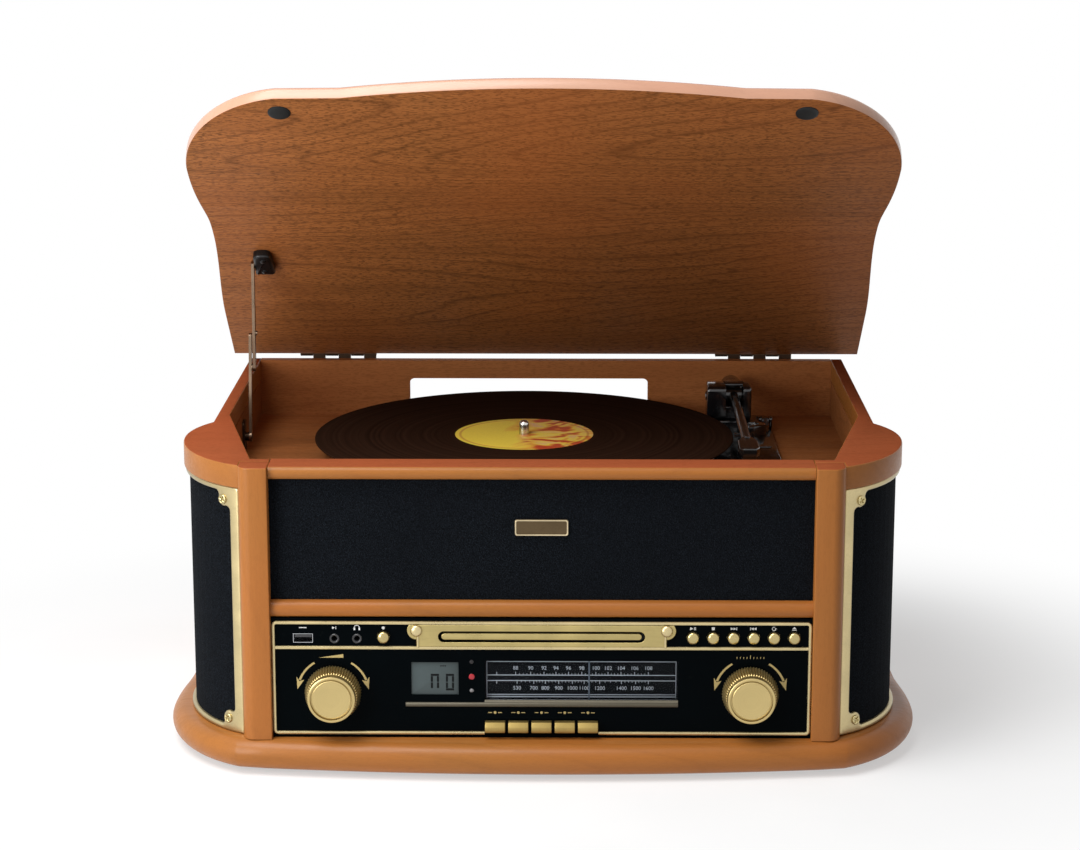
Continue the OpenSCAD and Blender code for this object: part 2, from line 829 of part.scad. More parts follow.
module circuit_boards() {
    upper = button_z + 5;
    color("#2f5d3a") {
        plate(-frame_half + 4, frame_half - 4, board_y, board_y + pcb_t, board_low, board_high);
        for (side = [-1, 1])
            plate(side > 0 ? tray_slot_w / 2 + 6 : -frame_half + 4,
                side > 0 ? frame_half - 4 : -tray_slot_w / 2 - 6, board_y, board_y + pcb_t,
                board_high, upper);
        for (x = button_xs)
            plate(x - 3, x + 3, board_y - switch_h, board_y, button_z - 3, button_z + 3);
        for (i = [-2 : 2])
            difference() {
                bar_y(i * key_pitch, key_z + key_h / 2 + 2, stem_r + 2, board_y - 8, board_y);
                bar_y(i * key_pitch, key_z + key_h / 2 + 2, stem_r + fit, board_y - 9,
                    board_y - 1);
            }
        for (x = [-168, -112, 112, 168], z = [board_low + 4])
            bar_y(x, z, 2.5, inner_y, board_y);
        // Main board on its pillars
        plate(30, 190, 70, 160, floor_z + 8, floor_z + 8 + pcb_t);
        for (x = [36, 184], y = [76, 154])
            translate([x, y, floor_z])
                cylinder(r = 3, h = 8);
        for (x = [50, 80, 110])
            translate([x, 120, floor_z + 8 + pcb_t])
                cylinder(r = 6, h = 22);
        plate(60, 150, 84, 88, floor_z + 8 + pcb_t, floor_z + 44);
    }
}
pot_r = 8;
pot_front = inner_y + 1;
module rotary_controls() {
    color("silver")
        for (x = [-knob_x, knob_x])
            difference() {
                union() {
                    bar_y(x, knob_z, pot_r, pot_front, board_y);
                    bar_y(x, knob_z, shaft_r + 2.5, inner_y, pot_front);
                }
                bar_y(x, knob_z, shaft_r + bearing_fit, inner_y - 1, board_y - 2);
            }
}
core_w = 46;
core_d = 38;
core_h = 42;
core_foot = 6;
core_x = 83.8 - half_w;
core_y = back_y - 81;
coil_w = 30;
module transformer() {
    foot_z = floor_z + core_foot;
    color("#5c5c60") {
        plate(core_x - core_w / 2 - 7, core_x + core_w / 2 + 7, core_y - core_d / 2 - core_foot,
            core_y + core_d / 2 + core_foot, floor_z, foot_z);
        plate(core_x - core_w / 2, core_x + core_w / 2, core_y - core_d / 2,
            core_y + core_d / 2, foot_z, foot_z + core_h);
        for (y = [core_y - core_d / 2 - core_foot, core_y + core_d / 2])
            plate(core_x - coil_w / 2, core_x + coil_w / 2, y, y + core_foot, foot_z + 6,
                foot_z + core_h - 6);
    }
}
module rear_sockets() {
    proud = 5;
    color("#b8b8ba") {
        for (x = concat(rca_x, [aerial_x]))
            difference() {
                union() {
                    bar_y(x, rca_z, rca_r, panel_y, panel_y + rear_t + proud);
                    bar_y(x, rca_z, rca_r + 2, panel_y - 8, panel_y);
                }
                bar_y(x, rca_z, 1.7, panel_y - 5, panel_y + rear_t + proud + 1);
            }
        difference() {
            plate(inlet_x - inlet_w / 2, inlet_x + inlet_w / 2, panel_y - 16,
                panel_y + rear_t, inlet_z - inlet_h / 2, inlet_z + inlet_h / 2);
            along_y(panel_y - 14, panel_y + rear_t + 1)
                translate([inlet_x, inlet_z])
                    round_box(inlet_w - 4, inlet_h - 4, 3.9);
        }
        for (s = [-1, 1])
            bar_y(inlet_x + s * 4, inlet_z, 1.2, panel_y - 15, panel_y - 4);
    }
}

// Disc player

tray_half = disc_r + 3.4;
tray_low = tray_z - 2.4;
tray_back = face_y + tray_d;
mech_front = board_y + pcb_t + 3;
mech_back = tray_back + 6;
module cd_mechanism() {
    under = tray_low - 1.2;
    low = floor_z + 34;
    color("#4a4c50") {
        difference() {
            plate(-tray_half - 4, tray_half + 4, mech_front, mech_back, low, under);
            plate(-tray_half + 4, tray_half - 4, mech_front + 8, mech_back - 8, low - 1,
                under - 4);
        }
        for (side = [-1, 1])
            plate(side > 0 ? tray_half + fit : -tray_half - 4,
                side > 0 ? tray_half + 4 : -tray_half - fit, mech_front, mech_back,
                under, tray_z + 5);
        for (x = [-tray_half, tray_half], y = [mech_front + 6, mech_back - 6])
            translate([x, y, floor_z])
                cylinder(r = 3.5, h = low - floor_z);
        plate(-20, 20, mech_front + 8, mech_front + 50, low, low + 8);
    }
}
module cd_tray() {
    color("#c3ae74")
        difference() {
            union() {
                along_y(face_y + 0.4, face_y + 3.4)
                    translate([0, tray_z])
                        round_box(tray_slot_w - 4, tray_slot_h - 3, (tray_slot_h - 3) / 2 - eps);
                plate(-tray_half, tray_half, face_y + 3.4, tray_back, tray_low, tray_z + 2.2);
            }
            translate([0, face_y + disc_r + 8, tray_z - 0.4])
                cylinder(r = disc_r, h = 8);
            translate([0, face_y + disc_r + 8, tray_z - 10])
                cylinder(r = 18, h = 20);
        }
}

// Turntable

module platter_bearing() {
    color("silver")
        translate([spindle_x, spindle_y, 0])
            difference() {
                union() {
                    translate([0, 0, under_z - 14])
                        cylinder(r = bearing_r - fit, h = 14 + deck_t + 1.6);
                    translate([0, 0, under_z - 3])
                        cylinder(r = bearing_r + 8, h = 3);
                }
                translate([0, 0, under_z - 12])
                    cylinder(r = spindle_r + bearing_fit, h = 40);
            }
}
module motor() {
    color("silver")
        translate([motor_x, motor_y, 0])
            difference() {
                translate([0, 0, under_z - motor_h])
                    cylinder(r = motor_r, h = motor_h);
                translate([0, 0, under_z - 14])
                    cylinder(r = 1.05, h = 20);
            }
}
module motor_pulley() {
    color("goldenrod")
        translate([motor_x, motor_y, 0]) {
            translate([0, 0, under_z - 12])
                cylinder(r = 1, h = belt_z + belt_h + 1 - under_z + 12);
            translate([0, 0, belt_z - 1.6])
                rotate_extrude()
                    polygon([
                        [0, 0], [pulley_r + 1, 0], [pulley_r + 1, 1], [pulley_r, 1.3],
                        [pulley_r, belt_h + 1.9], [pulley_r + 1, belt_h + 2.2],
                        [pulley_r + 1, belt_h + 2.6], [0, belt_h + 2.6]
                    ]);
        }
}
// Outline of a loop round the hub at the origin and a pulley at distance d on +X
function loop_round(r_big, r_small, d) =
    let (a = acos((r_big - r_small) / d))
    concat(
        arc(0, 0, r_big, r_big, a, 360 - a, 40),
        arc(d, 0, r_small, r_small, -a, a, 16)
    );
module drive_belt() {
    gap = fit;
    color("#222222")
        translate([spindle_x, spindle_y, belt_z])
            rotate([0, 0, motor_a])
                linear_extrude(belt_h)
                    difference() {
                        polygon(loop_round(hub_r + gap + 0.9, pulley_r + gap + 0.9, motor_away));
                        polygon(loop_round(hub_r + gap, pulley_r + gap, motor_away));
                    }
}
spindle_groove = 0.5;
module platter() {
    r = platter_d / 2;
    top = mat_z - deck_z;
    low = platter_low - deck_z;
    color("#3b3b3d")
        translate([spindle_x, spindle_y, deck_z]) {
            rotate_extrude($fn = 128)
                polygon([
                    [0, top - 3], [hub_r - 4, top - 3], [hub_r - 4, low + 1], [hub_r, low + 1],
                    [hub_r, top - 3], [r - 3, top - 3], [r - 3, low], [r, low],
                    [r, top - 0.8], [r - 0.8, top], [0, top]
                ]);
            translate([0, 0, 2])
                cylinder(r = bearing_r - 1, h = top - 4);
            translate([0, 0, -deck_t - 11])
                cylinder(r = spindle_r, h = record_up + deck_t + 11);
            // Groove at the record's face, below the free end
            translate([0, 0, record_up])
                cylinder(r = spindle_r - 0.4, h = spindle_groove);
            translate([0, 0, record_up + spindle_groove])
                cylinder(r = spindle_r, h = spindle_up - 2 - spindle_groove);
            translate([0, 0, record_up + spindle_up - 2])
                cylinder(r1 = spindle_r, r2 = spindle_r - 1.6, h = 2);
        }
}
module ring_on_spindle(r, z, h) {
    translate([spindle_x, spindle_y, z])
        difference() {
            cylinder(r = r, h = h, $fn = 128);
            translate([0, 0, -1])
                cylinder(r = spindle_r + bearing_fit, h = h + 2);
        }
}
module slip_mat() {
    color("#202022")
        ring_on_spindle(platter_d / 2 - 2, mat_z, mat_t);
}
label_t = 0.3;
module record() {
    color("#08080a")
        difference() {
            ring_on_spindle(record_d / 2, record_z - record_t, record_t);
            translate([spindle_x, spindle_y, record_z - label_t])
                cylinder(r = label_d / 2, h = 1, $fn = 128);
        }
}
module record_label() {
    color("#e8c93a")
        ring_on_spindle(label_d / 2, record_z - label_t, label_t);
}

// Tonearm

plate_x0 = arm_x - 20.5;
plate_x1 = arm_x + 29;
plate_y0 = arm_y - arm_l - 12;
plate_y1 = arm_y + 38;
rest_y = arm_y - 112;
cue_x = arm_x + 24;
cue_y = arm_y - 4;
cue_z = deck_z + plate_t + 5;
cradle_z = arm_z - arm_r - fit;
adapter_r = 9.9;
adapter_h = 8.4;
module tonearm_base() {
    z = deck_z + plate_t;
    color("#101012") {
        translate([(plate_x0 + plate_x1) / 2, (plate_y0 + plate_y1) / 2, deck_z])
            linear_extrude(plate_t)
                round_box(plate_x1 - plate_x0, plate_y1 - plate_y0, 6);
        translate([arm_x - 3.25, arm_y - 2, z])
            linear_extrude(8)
                round_box(34.5, 32, 4);
        translate([arm_x, rest_y, z])
            cylinder(r = 3.4, h = cradle_z - 3 - z);
        translate([arm_x, rest_y, 0])
            difference() {
                plate(-6, 8, -3, 3, cradle_z - 3, arm_z + 1);
                plate(-9, arm_r + 0.6, -4, 4, cradle_z, arm_z + 2);
            }
        for (s = [-1, 1])
            plate(cue_x + s * 4 - 1, cue_x + s * 4 + 1, cue_y - 4, cue_y + 4, z, cue_z + 3.4);
        translate([arm_x + 13.2, arm_y - 28.9, z])
            rotate_extrude()
                polygon([[0, 0], [adapter_r, 0], [adapter_r, adapter_h - 0.8],
                    [adapter_r - 0.8, adapter_h], [4.2, adapter_h], [3.6, adapter_h - 2],
                    [0, adapter_h - 2]]);
    }
}
yoke_z = deck_z + plate_t + 8 + fit;
ear_x = 9.5;
cheek_in = 6.5;
cheek_top = arm_z + 9.3;
module tonearm_yoke() {
    color("#151517")
        translate([arm_x, arm_y, 0])
            difference() {
                union() {
                    translate([0, 0, yoke_z])
                        cylinder(r = 12, h = 3);
                    plate(-20.5, -cheek_in, -17, 9, yoke_z, cheek_top);
                    plate(cheek_in, 12.5, -17, 9, yoke_z, cheek_top);
                    plate(-cheek_in - 1, cheek_in + 1, -3, 9, arm_z + 6.8, cheek_top);
                    plate(-cheek_in - 1, cheek_in + 1, -14, 9, yoke_z, arm_z - 6);
                }
                bar_x(0, arm_z, 2 + bearing_fit, -ear_x - 0.2, ear_x + 0.2);
            }
}
head_w = 14;
module tonearm() {
    color("#1a1a1c")
        translate([arm_x, arm_y, arm_z]) {
            bar_x(0, 0, 2, -ear_x, ear_x);
            bar_x(0, 0, 5.4, -cheek_in + fit, cheek_in - fit);
            bar_y(0, 0, arm_r, 24 - arm_l, 16);
            bar_y(0, 0, weight_r, 14, 36);
            bar_y(0, 0, weight_r - 3, 36, 40);
            plate(-head_w / 2, head_w / 2, -arm_l - 10, 26 - arm_l, -3, 3);
            plate(head_w / 2 - 1, head_w / 2 + 9, 2 - arm_l, 6 - arm_l, 0, 1.6);
            plate(-5, 5, -arm_l - 6, 14 - arm_l, -7.4, -3);
            translate([0, -arm_l, -arm_up + record_up + 0.4])
                cylinder(r1 = 0.3, r2 = 1.2, h = arm_up - record_up - 7);
        }
}
module cue_lever() {
    color("#2a2a2d") {
        bar_x(cue_y, cue_z, 2, cue_x - 3 + fit, cue_x + 3 - fit);
        plate(cue_x - 1.5, cue_x + 1.5, cue_y - 13, cue_y, cue_z - 1, cue_z + 1.4);
    }
}

// Lid, hinges and stay

// Puts something drawn on the closed lid where the open lid holds it
module opened() {
    translate([0, hinge_y, hinge_z])
        rotate([-lid_open, 0, 0])
            translate([0, -hinge_y, -hinge_z])
                children();
}
lid_bow_x = 133;
lid_front_x = 176;
function lid_front(x, g) =
    lid_front_y - g - lid_bow * max(0, 1 - pow(x / lid_bow_x, 2));
module lid() {
    edge = 3;
    function loop(g) = both_sides(concat(
        lipped_side(g, half_w + lid_rear_out, half_w + lid_waist_out,
            half_w + lid_bulge_out, lid_back_y + min(g, 0),
            corner_front_r, lid_front_x),
        [for (x = [lid_bow_x, 118, 100, 80, 58, 34, 10]) [x, lid_front(x, g)]]
    ));
    color("sienna")
        opened()
            through_loops([
                [loop(-1), lid_z], [loop(0), lid_z + 1], [loop(0), lid_z + lid_t - edge],
                [loop(-edge * 0.3), lid_z + lid_t - edge * 0.3], [loop(-edge), lid_z + lid_t]
            ]);
}
knuckles = 6;
knuckle_l = hinge_l / knuckles;
leaf_d = 11;
// One knuckle of a hinge with the web that joins it to its leaf
module knuckle(i, web_z0, web_z1) {
    x0 = -hinge_l / 2 + i * knuckle_l + fit / 2;
    x1 = x0 + knuckle_l - fit;
    bar_x(hinge_y, hinge_z, barrel_r, x0, x1);
    plate(x0, x1, back_y + fit, hinge_y - hinge_pin_r - 0.1, web_z0, web_z1);
}
module hinge_fixed_leaf() {
    plate(-hinge_l / 2, hinge_l / 2, back_y, back_y + leaf_t, top_z - leaf_d, top_z - 0.4);
    for (i = [1 : 2 : knuckles - 1])
        knuckle(i, top_z - 0.8, hinge_z);
    bar_x(hinge_y, hinge_z, hinge_pin_r, -hinge_l / 2, hinge_l / 2);
}
module hinge_moving_leaf() {
    low = hinge_z + barrel_r + fit;
    difference() {
        union() {
            plate(-hinge_l / 2, hinge_l / 2, lid_back_y, lid_back_y + leaf_t, low,
                lid_z + lid_t - 2.6);
            for (i = [0 : 2 : knuckles - 1])
                knuckle(i, hinge_z, low + 0.4);
        }
        bar_x(hinge_y, hinge_z, hinge_pin_r + bearing_fit, -hinge_l / 2 - 1, hinge_l / 2 + 1);
    }
}
module at_hinges() {
    for (x = [-hinge_x, hinge_x])
        translate([x, 0, 0])
            children();
}
stay_lid_closed = [hinge_y - stay_reach, hinge_z - stay_drop];
stay_hinge = [hinge_y, hinge_z];
stay_lid = stay_hinge + turned(stay_lid_closed - stay_hinge, -lid_open);
stay_span = norm(stay_lid - stay_wall);
stay_upper_l = stay_span - stay_lower_l + 0.2;
stay_line_a = atan2(stay_lid[1] - stay_wall[1], stay_lid[0] - stay_wall[0]);
stay_bend = acos((pow(stay_lower_l, 2) + pow(stay_span, 2) - pow(stay_upper_l, 2))
    / (2 * stay_lower_l * stay_span));
stay_lower_a = stay_line_a - stay_bend;
stay_elbow = stay_wall + turned([stay_lower_l, 0], stay_lower_a);
stay_upper_a = atan2(stay_elbow[1] - stay_lid[1], stay_elbow[0] - stay_lid[0]);
lower_x = stay_x;
upper_x = stay_x + 3;
stay_pin_r = 2;
collar_r = 3.2;
// A flat bar in a plane across X, from a pivot with a round eye, along an angle
module stay_bar(x, pivot, a, l, eye_r) {
    along_x(x, x + stay_bar_t)
        translate(pivot)
            rotate(a) {
                circle(r = eye_r);
                translate([0, -stay_bar_w / 2])
                    square([l, stay_bar_w]);
                translate([l, 0])
                    circle(r = stay_bar_w / 2);
            }
}
module cabinet_lid_fittings() {
    color("#8d8a80") {
        at_hinges()
            hinge_fixed_leaf();
        along_x(-well_x, -well_x + 1.6)
            translate(stay_wall + [0, 1])
                round_box(13, 22, 3);
        bar_x(stay_wall[0], stay_wall[1], collar_r, -well_x + 1.6, lower_x - fit);
        bar_x(stay_wall[0], stay_wall[1], stay_pin_r, lower_x - fit, lower_x + stay_bar_t + fit);
    }
}
module stay_lower_bar() {
    color("#8d8a80")
        difference() {
            union() {
                stay_bar(lower_x, stay_wall, stay_lower_a, stay_lower_l + stay_tail,
                    stay_bar_w / 2 + 1);
                bar_x(stay_elbow[0], stay_elbow[1], collar_r - 0.4, lower_x + stay_bar_t,
                    upper_x - fit);
            }
            bar_x(stay_wall[0], stay_wall[1], stay_pin_r + bearing_fit, lower_x - 1,
                lower_x + stay_bar_t + 1);
        }
}
rivet_at = stay_lid + turned([stay_upper_l * 0.665, 0], stay_upper_a);
module stay_upper_bar() {
    color("#8d8a80")
        difference() {
            union() {
                stay_bar(upper_x, stay_lid, stay_upper_a, stay_upper_l, stay_bar_w / 2);
                bar_x(rivet_at[0], rivet_at[1], 1.8, upper_x + stay_bar_t,
                    upper_x + stay_bar_t + 1.4);
            }
            bar_x(stay_lid[0], stay_lid[1], stay_pin_r + bearing_fit, upper_x - 1,
                upper_x + stay_bar_t + 1);
        }
}
bumper_side_in = 70.5;
bumper_front_in = 17.4;
bumper_x = half_w + lid_bulge_out - bumper_side_in;
bumper_y = lid_front_y + bumper_front_in;
bumper_t = lid_gap - 0.4;
bracket_x0 = upper_x + stay_bar_t + fit;
bracket_w = 14.6;
bracket_l = 26.6;
bracket_t = 6.4;
module lid_hinge_leaves() {
    color("#8d8a80")
        opened()
            at_hinges()
                hinge_moving_leaf();
}
module lid_fittings() {
    color("#17181a")
        opened() {
            for (x = [-bumper_x, bumper_x])
                translate([x, bumper_y, lid_z - bumper_t])
                    cylinder(r1 = bumper_r - 0.8, r2 = bumper_r, h = bumper_t);
            translate([bracket_x0 + bracket_w / 2, stay_lid_closed[0] - 3.2, lid_z - bracket_t])
                linear_extrude(bracket_t)
                    round_box(bracket_w, bracket_l, 5);
            bar_x(stay_lid_closed[0], stay_lid_closed[1], stay_pin_r, upper_x - fit,
                bracket_x0 + 2);
        }
}

// Knobs, buttons and keys

// Outline with a rib at each step, between two radii
function ribbed(r, depth, n) = [
    for (i = [0 : 2 * n - 1])
        let (a = 180 * i / n, q = i % 2 == 0 ? r : r - depth)
        [q * cos(a), q * sin(a)]
];
module big_knob(x) {
    back = face_y - 0.8;
    rib = 0.8;
    skirt = knob_d - 5;
    color("#c2a35a")
        translate([x, back, knob_z])
            rotate([90, 0, 0]) {
                linear_extrude(skirt, scale = (knob_front_r + 0.9) / knob_r)
                    polygon(ribbed(knob_r, rib, knob_ribs));
                translate([0, 0, skirt])
                    cylinder(r = knob_front_r, h = knob_d - skirt - 0.8);
                translate([0, 0, knob_d - 0.8])
                    cylinder(r1 = knob_front_r, r2 = knob_front_r - 0.8, h = 0.8);
            }
    color("silver")
        bar_y(x, knob_z, shaft_r, back, board_y - 3);
}
module volume_knob() {
    big_knob(-knob_x);
}
module tuning_knob() {
    big_knob(knob_x);
}
pointer_x = 31.3;
module dial_pointer() {
    high = rail_up_z + 2.4;
    color("#e6e6e6")
        difference() {
            union() {
                plate(pointer_x - 0.5, pointer_x + 0.5, scale_y - 0.9, scale_y - 0.4,
                    dial_z - dial_h / 2 + 0.6, high);
                plate(pointer_x - 3, pointer_x + 3, scale_y - 0.9, scale_y + 5,
                    rail_up_z - 2, high);
            }
            bar_x(scale_y + 3, rail_up_z, 1.15, pointer_x - 4, pointer_x + 4);
        }
}
module round_button(i) {
    proud = 2.6;
    color("#cfbd86")
        translate([button_xs[i - 1], 0, button_z]) {
            translate([0, face_y - proud, 0])
                rotate([90, 0, 0])
                    rotate_extrude()
                        polygon([[0, -proud - fascia_t - 0.8], [button_r, -proud - fascia_t - 0.8],
                            [button_r, 0], [button_r * 0.86, 0.9], [button_r * 0.6, 1.5],
                            [button_r * 0.3, 1.8], [0, 1.9]]);
            bar_y(0, 0, button_r + 1, inner_y + fit, inner_y + 1.3);
            bar_y(0, 0, stem_r, inner_y + 1.3, board_y - switch_h - button_travel - fit);
        }
}
module key(i) {
    x = (i - 3) * key_pitch;
    front = face_y - 5.4;
    bevel = 1.6;
    color("#bfa765") {
        along_x(x - key_w / 2, x + key_w / 2)
            polygon([
                [front + bevel, key_z + key_h], [front, key_z + key_h - 2 * bevel],
                [front, key_z + 0.6], [front + 0.6, key_z], [inner_y + 1, key_z],
                [inner_y + 1, key_z + key_h]
            ]);
        bar_y(x, key_z + key_h / 2 + 2, stem_r, inner_y + 1, board_y - 1 - key_travel - fit);
    }
}

base_plinth();
rubber_feet();
top_frame();
side_boards();
front_rails();
back_wall();
rear_panel();
deck_board();
front_grille();
badge_plate();
speakers();
side_cloths();
side_trims();
trim_screws();
fascia_panel();
fascia_frame();
cd_plate();
dial_window();
dial_scale();
display();
front_sockets();
circuit_boards();
rotary_controls();
transformer();
rear_sockets();
cd_mechanism();
platter_bearing();
motor();
drive_belt();
tonearm_base();
cabinet_lid_fittings();
lid();
lid_hinge_leaves();
lid_fittings();
stay_upper_bar();
stay_lower_bar();
platter();
slip_mat();
record();
record_label();
motor_pulley();
tonearm_yoke();
tonearm();
cue_lever();
cd_tray();
volume_knob();
tuning_knob();
dial_pointer();
round_button(1);  // round_button_1
round_button(2);  // round_button_2
round_button(3);  // round_button_3
round_button(4);  // round_button_4
round_button(5);  // round_button_5
round_button(6);  // round_button_6
round_button(7);  // round_button_7
key(1);  // key_1
key(2);  // key_2
key(3);  // key_3
key(4);  // key_4
key(5);  // key_5
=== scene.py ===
"""Dresses the packed model of a stereo music centre: lacquered wood, speaker cloth, gilt metal,
a record on its platter, a black control panel and a soft white studio."""

import math

import bmesh
import bpy
from bpy.props import FloatProperty, FloatVectorProperty, IntProperty, PointerProperty
from mathutils import Matrix, Vector


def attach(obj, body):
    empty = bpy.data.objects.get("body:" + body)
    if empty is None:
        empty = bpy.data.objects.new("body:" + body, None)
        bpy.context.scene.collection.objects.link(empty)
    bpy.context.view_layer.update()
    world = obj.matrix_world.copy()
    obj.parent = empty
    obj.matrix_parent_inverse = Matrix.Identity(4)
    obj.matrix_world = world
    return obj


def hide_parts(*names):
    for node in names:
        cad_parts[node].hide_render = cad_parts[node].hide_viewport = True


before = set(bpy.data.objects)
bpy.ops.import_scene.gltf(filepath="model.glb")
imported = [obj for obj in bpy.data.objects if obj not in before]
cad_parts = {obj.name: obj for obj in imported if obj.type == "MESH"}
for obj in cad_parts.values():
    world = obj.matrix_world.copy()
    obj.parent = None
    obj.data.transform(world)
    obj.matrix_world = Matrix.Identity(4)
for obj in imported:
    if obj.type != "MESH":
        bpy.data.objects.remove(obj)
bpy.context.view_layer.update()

bl_info = {
    "name": "Stereo Music Centre",
    "version": (1, 0, 0),
    "blender": (4, 5, 0),
    "location": "3D View > Sidebar > Music Centre",
    "description": "Dresses the packed model of a wooden stereo music centre and lights it",
    "category": "Object",
}

MM = 0.001


def srgb(*seen):
    """A colour as seen on a screen, 0 to 255, as scene linear numbers."""
    return tuple(v / 255 / 12.92 if v / 255 <= 0.04045 else ((v / 255 + 0.055) / 1.055) ** 2.4
                 for v in seen)


# Sizes in millimetres, as the part's source has them

FLOOR_Z, TOP_Z, CAP_T = 23.5, 207.3, 15.5
CAP_Z = TOP_Z - CAP_T
MID_Z, MID_T = 105.5, 11.4
RAIL_Z, RAIL_T = 198.5, 8.8
DECK_Z = 164.3
HALF_W, BACK_Y, FRONT_Y = 228.8, 186.0, -172.0
WELL_X, WELL_FRONT_Y = 220.0, -148.5
POST_X, POST_OUT, POST_Y, POST_BACK_Y = 177.3, 196.7, -175.7, -155.7
CORNER_X, CORNER_Y, CORNER_SIDE, CORNER_FRONT = 164.3, -82.7, 78.0, 93.0
WAIST_Y = CORNER_Y + math.sqrt(CORNER_SIDE ** 2 - (HALF_W - CORNER_X) ** 2)
CLOTH_IN, TRIM_T, TRIM_W = 3.6, 2.6, 4.0
LUG_ANGLES, LUG_IN, LUG_R = (-55.5, 22.0), 9.2, 5.0
BASE_W, BASE_D, BASE_T, FOOT_H, FOOT_R = 511.0, 387.0, 20.5, 3.0, 12.0
LID_Z, LID_T, LID_OPEN = 209.1, 9.6, 38.8
HINGE_Y, HINGE_Z = 188.0, 210.4
LID_FRONT_Y, LID_BOW, LID_BOW_X = -175.4, 11.8, 133.0
FACE_Y, INNER_Y, BOARD_Y = -170.0, -167.0, -152.0
FRAME_LOW, FRAME_HIGH, FRAME_HALF, LINE_W, GOLD_T = 25.5, 103.5, 177.0, 2.4, 1.2
LINE_Z, TRAY_Z = 85.3, 93.0
KNOB_X, KNOB_Z = 137.1, 54.5
BOSS_X, BOSS_Z = 82.0, TRAY_Z + 4.2
BUTTON_Z, JACK_Z, USB_Z = 92.8, 91.4, 91.7
BUTTONS = [-103.6] + [99 + i * 13.25 for i in range(6)]
USB_X, USB_BACK_Y, JACKS = -156.3, -154.0, (-135.7, -120.9)
DIAL_X, DIAL_Z, DIAL_W, DIAL_H = 26.2, 61.3, 127.2, 30.0
DISPLAY_X, DISPLAY_Z, DISPLAY_W, DISPLAY_H = -70.1, 64.0, 31.4, 22.6
SCALE_Y = -165.6
KEY_Z, KEY_W, KEY_H, KEY_PITCH = 28.2, 13.3, 7.0, 15.3
SPINDLE_X, SPINDLE_Y, RECORD_Z, MAT_Z = -14.5, 42.0, 180.5, 177.5
ARM_X, ARM_Y, ARM_Z, ARM_L = 142.0, 128.0, 191.3, 180.0
CUE_X, CUE_Y, CUE_Z = 166.0, 124.0, 172.3
FEET = [(x, y) for x in (-190, 190) for y in (-120, 140)]
BADGE_Y, BADGE_Z = FRONT_Y + 6, 166.0
DISC_Y, LAMPS_X = -101.5, -45.9

# The camera of the photograph, in metres and degrees

LENS, SENSOR = 89.76, 36.0
CAMERA_AT, CAMERA_TURN = (0.01497, -1.85844, 0.61734), (77.244, 0.0, 0.542)


# Shapes

def arc(cx, cy, rx, ry, start, end, steps):
    """Points of an ellipse's arc, from one angle to another in degrees."""
    return [(cx + rx * math.cos(math.radians(start + (end - start) * i / steps)),
             cy + ry * math.sin(math.radians(start + (end - start) * i / steps)))
            for i in range(steps + 1)]


def box_outline(x0, x1, y0, y1, r=0.0, steps=6):
    """A rectangle with round corners, counter-clockwise."""
    if r <= 0:
        return [(x0, y0), (x1, y0), (x1, y1), (x0, y1)]
    corners = ((x1 - r, y0 + r, -90), (x1 - r, y1 - r, 0), (x0 + r, y1 - r, 90),
               (x0 + r, y0 + r, 180))
    return [p for x, y, a in corners for p in arc(x, y, r, r, a, a + 90, steps)]


def circle_outline(cx, cy, r, steps):
    """Points of a circle."""
    return arc(cx, cy, r, r, 0, 360, steps)[:-1]


def inset(loop, by, hole):
    """The outline moved by a distance into the material, with mitred corners."""
    area = sum(a[0] * b[1] - b[0] * a[1] for a, b in zip(loop, loop[1:] + loop[:1]))
    turn = 1 if (area > 0) != hole else -1
    out = []
    for i, q in enumerate(loop):
        p, r = loop[i - 1], loop[(i + 1) % len(loop)]
        a = Vector((q[0] - p[0], q[1] - p[1]))
        b = Vector((r[0] - q[0], r[1] - q[1]))
        if a.length < 1e-6 or b.length < 1e-6:
            out.append(q)
            continue
        na, nb = Vector((-a.y, a.x)).normalized(), Vector((-b.y, b.x)).normalized()
        m = (na + nb if (na + nb).length >= 1e-4 else na).normalized()
        reach = by / max(0.35, m.dot(na))
        out.append((q[0] + turn * m.x * reach, q[1] + turn * m.y * reach))
    return out


AXES = {
    "x": lambda u, v, w: (w, u, v),
    "y": lambda u, v, w: (u, w, v),
    "z": lambda u, v, w: (u, v, w),
}


def full_turn(steps):
    """Angles of a whole turn in as many steps, in radians."""
    return [2 * math.pi * i / steps for i in range(steps)]


def bridge(bm, rings, ends=True):
    """Joins rings of vertices with faces and fills the end rings. One vertex makes a tip."""
    for low, high in zip(rings, rings[1:]):
        n = max(len(low), len(high))
        for i in range(n):
            j = (i + 1) % n
            corners = dict.fromkeys((low[i % len(low)], low[j % len(low)],
                                     high[j % len(high)], high[i % len(high)]))
            if len(corners) > 2:
                bm.faces.new(tuple(corners))
    for ring in (rings[0], rings[-1]):
        if ends and len(ring) > 1:
            bm.faces.new(ring)


